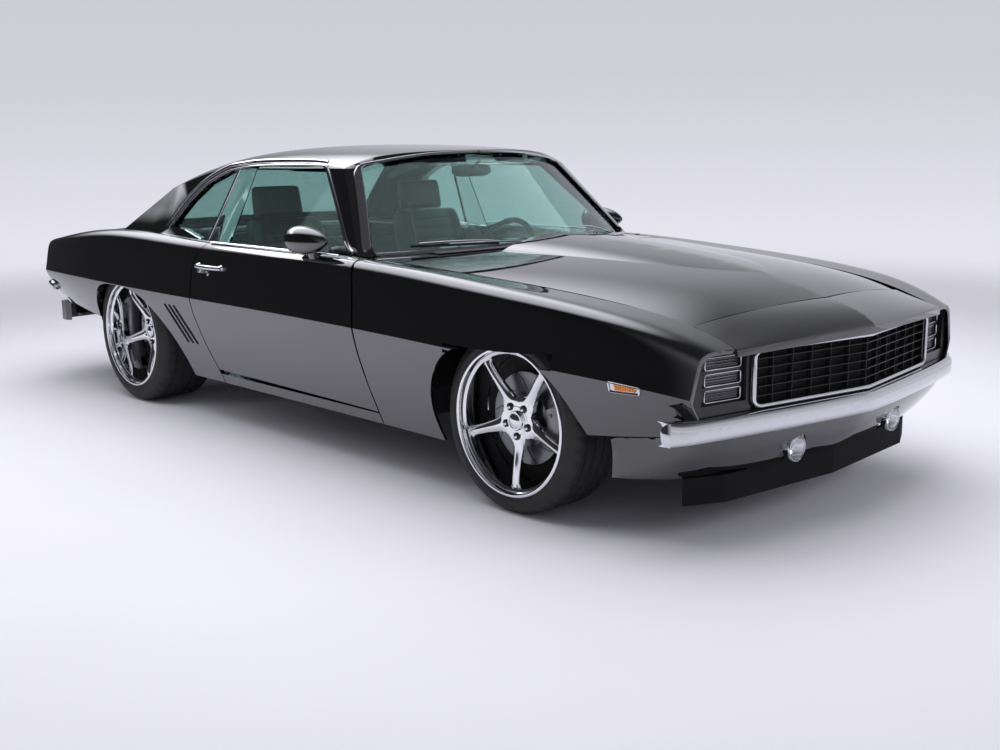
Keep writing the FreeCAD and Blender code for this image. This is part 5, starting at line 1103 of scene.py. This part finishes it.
toward = add_node(tree, "TexCoord").outputs["Generated"]
height = add_node(tree, "SeparateXYZ", {"Vector": toward}).outputs["Z"]
lifted = add_node(tree, "MapRange", {"Value": height, "From Min": -0.45, "From Max": 0.3}).outputs["Result"]
sky = add_node(tree, "ValToRGB", {"Fac": lifted})
stops = sky.color_ramp.elements
stops[0].color, stops[1].color = (0.76, 0.75, 0.84, 1), (0.56, 0.565, 0.61, 1)
stops.new(0.5).color = (0.78, 0.77, 0.86, 1)
stops.new(0.66).color = (0.62, 0.62, 0.68, 1)
# mirrors see the studio dark beside the object, a dim ceiling and one bright panel behind it
shade = ranged(tree, facing((-0.62, 0.74, -0.25)), 0.05, 0.55, 1.0, 0.06)
ceiling = ranged(tree, height, 0.35, 0.95, 1.0, 0.12)
panel = ranged(tree, facing(Vector((0.15, 0.66, 0.73)).normalized()), 0.80, 0.97, 0.0, 4.2)
rays = add_node(tree, "LightPath").outputs
plainly = maths("MAXIMUM", rays["Is Camera Ray"], rays["Is Transmission Ray"])
mirrored_light = maths("MULTIPLY_ADD", panel, rays["Is Glossy Ray"], maths("MULTIPLY", shade, ceiling))
feed(tree, tree.nodes["Background"], {
    "Color": sky.outputs["Color"], "Strength": maths("MAXIMUM", maths("MULTIPLY", plainly, ceiling), mirrored_light)})


def softbox(name, place, target, size, power, color=(1, 1, 1)):
    """A rectangular area light that faces its target."""
    data = bpy.data.lights.new(name, "AREA")
    data.shape = "RECTANGLE"
    data.size, data.size_y = size
    data.energy = power
    data.color = color
    obj = linked(name, data)
    obj.location = place
    obj.rotation_euler = (Vector(target) - Vector(place)).to_track_quat("-Z", "Y").to_euler()
    return obj


softbox("overhead", (0.3, 0.2, 4.2), (0, 0, 0), (5.6, 7.4), 325, (0.97, 0.97, 1.0)).visible_glossy = False
softbox("floor_fill", (-4.8, 3.4, 3.4), (-2.6, 0.4, 0), (4.5, 4.5), 75).visible_glossy = False
strip_light = softbox("shoulder_strip", (-0.2, 6.4, 5.0), (-0.6, -0.6, 0.8), (6.4, 0.9), 62, (0.94, 0.93, 1.0))
strip_light.visible_diffuse = False
softbox("front_fill", (2.5, -6.0, 2.6), (0, 0, 0.5), (3.0, 2.0), 60).visible_glossy = False

# camera: place, turn and focal length as fitted to the photograph
YAW, PITCH, ROLL, FOCAL_PIXELS, SENSOR = 0.7542, -0.1993, -0.008, 1235.33, 36
look = Vector((math.cos(PITCH) * math.sin(YAW), math.cos(PITCH) * math.cos(YAW), math.sin(PITCH)))
right = look.cross(Vector((0, 0, 1))).normalized()
up = right.cross(look)
right, up = math.cos(ROLL) * right + math.sin(ROLL) * up, -math.sin(ROLL) * right + math.cos(ROLL) * up
camera_data = bpy.data.cameras.new("camera")
camera_data.sensor_width = SENSOR
camera_data.lens = FOCAL_PIXELS * SENSOR / 1000
camera_data.shift_x = -0.00098
camera_data.shift_y = 0.0089
camera_data.clip_end = 200
camera = linked("camera", camera_data)
matrix = Matrix((right, up, -look)).transposed().to_4x4()
matrix.translation = Vector((-3.75801, -4.49336, 1.31895))
camera.matrix_world = matrix
bpy.context.scene.camera = camera
bpy.context.scene.view_settings.view_transform = "Standard"

low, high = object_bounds()
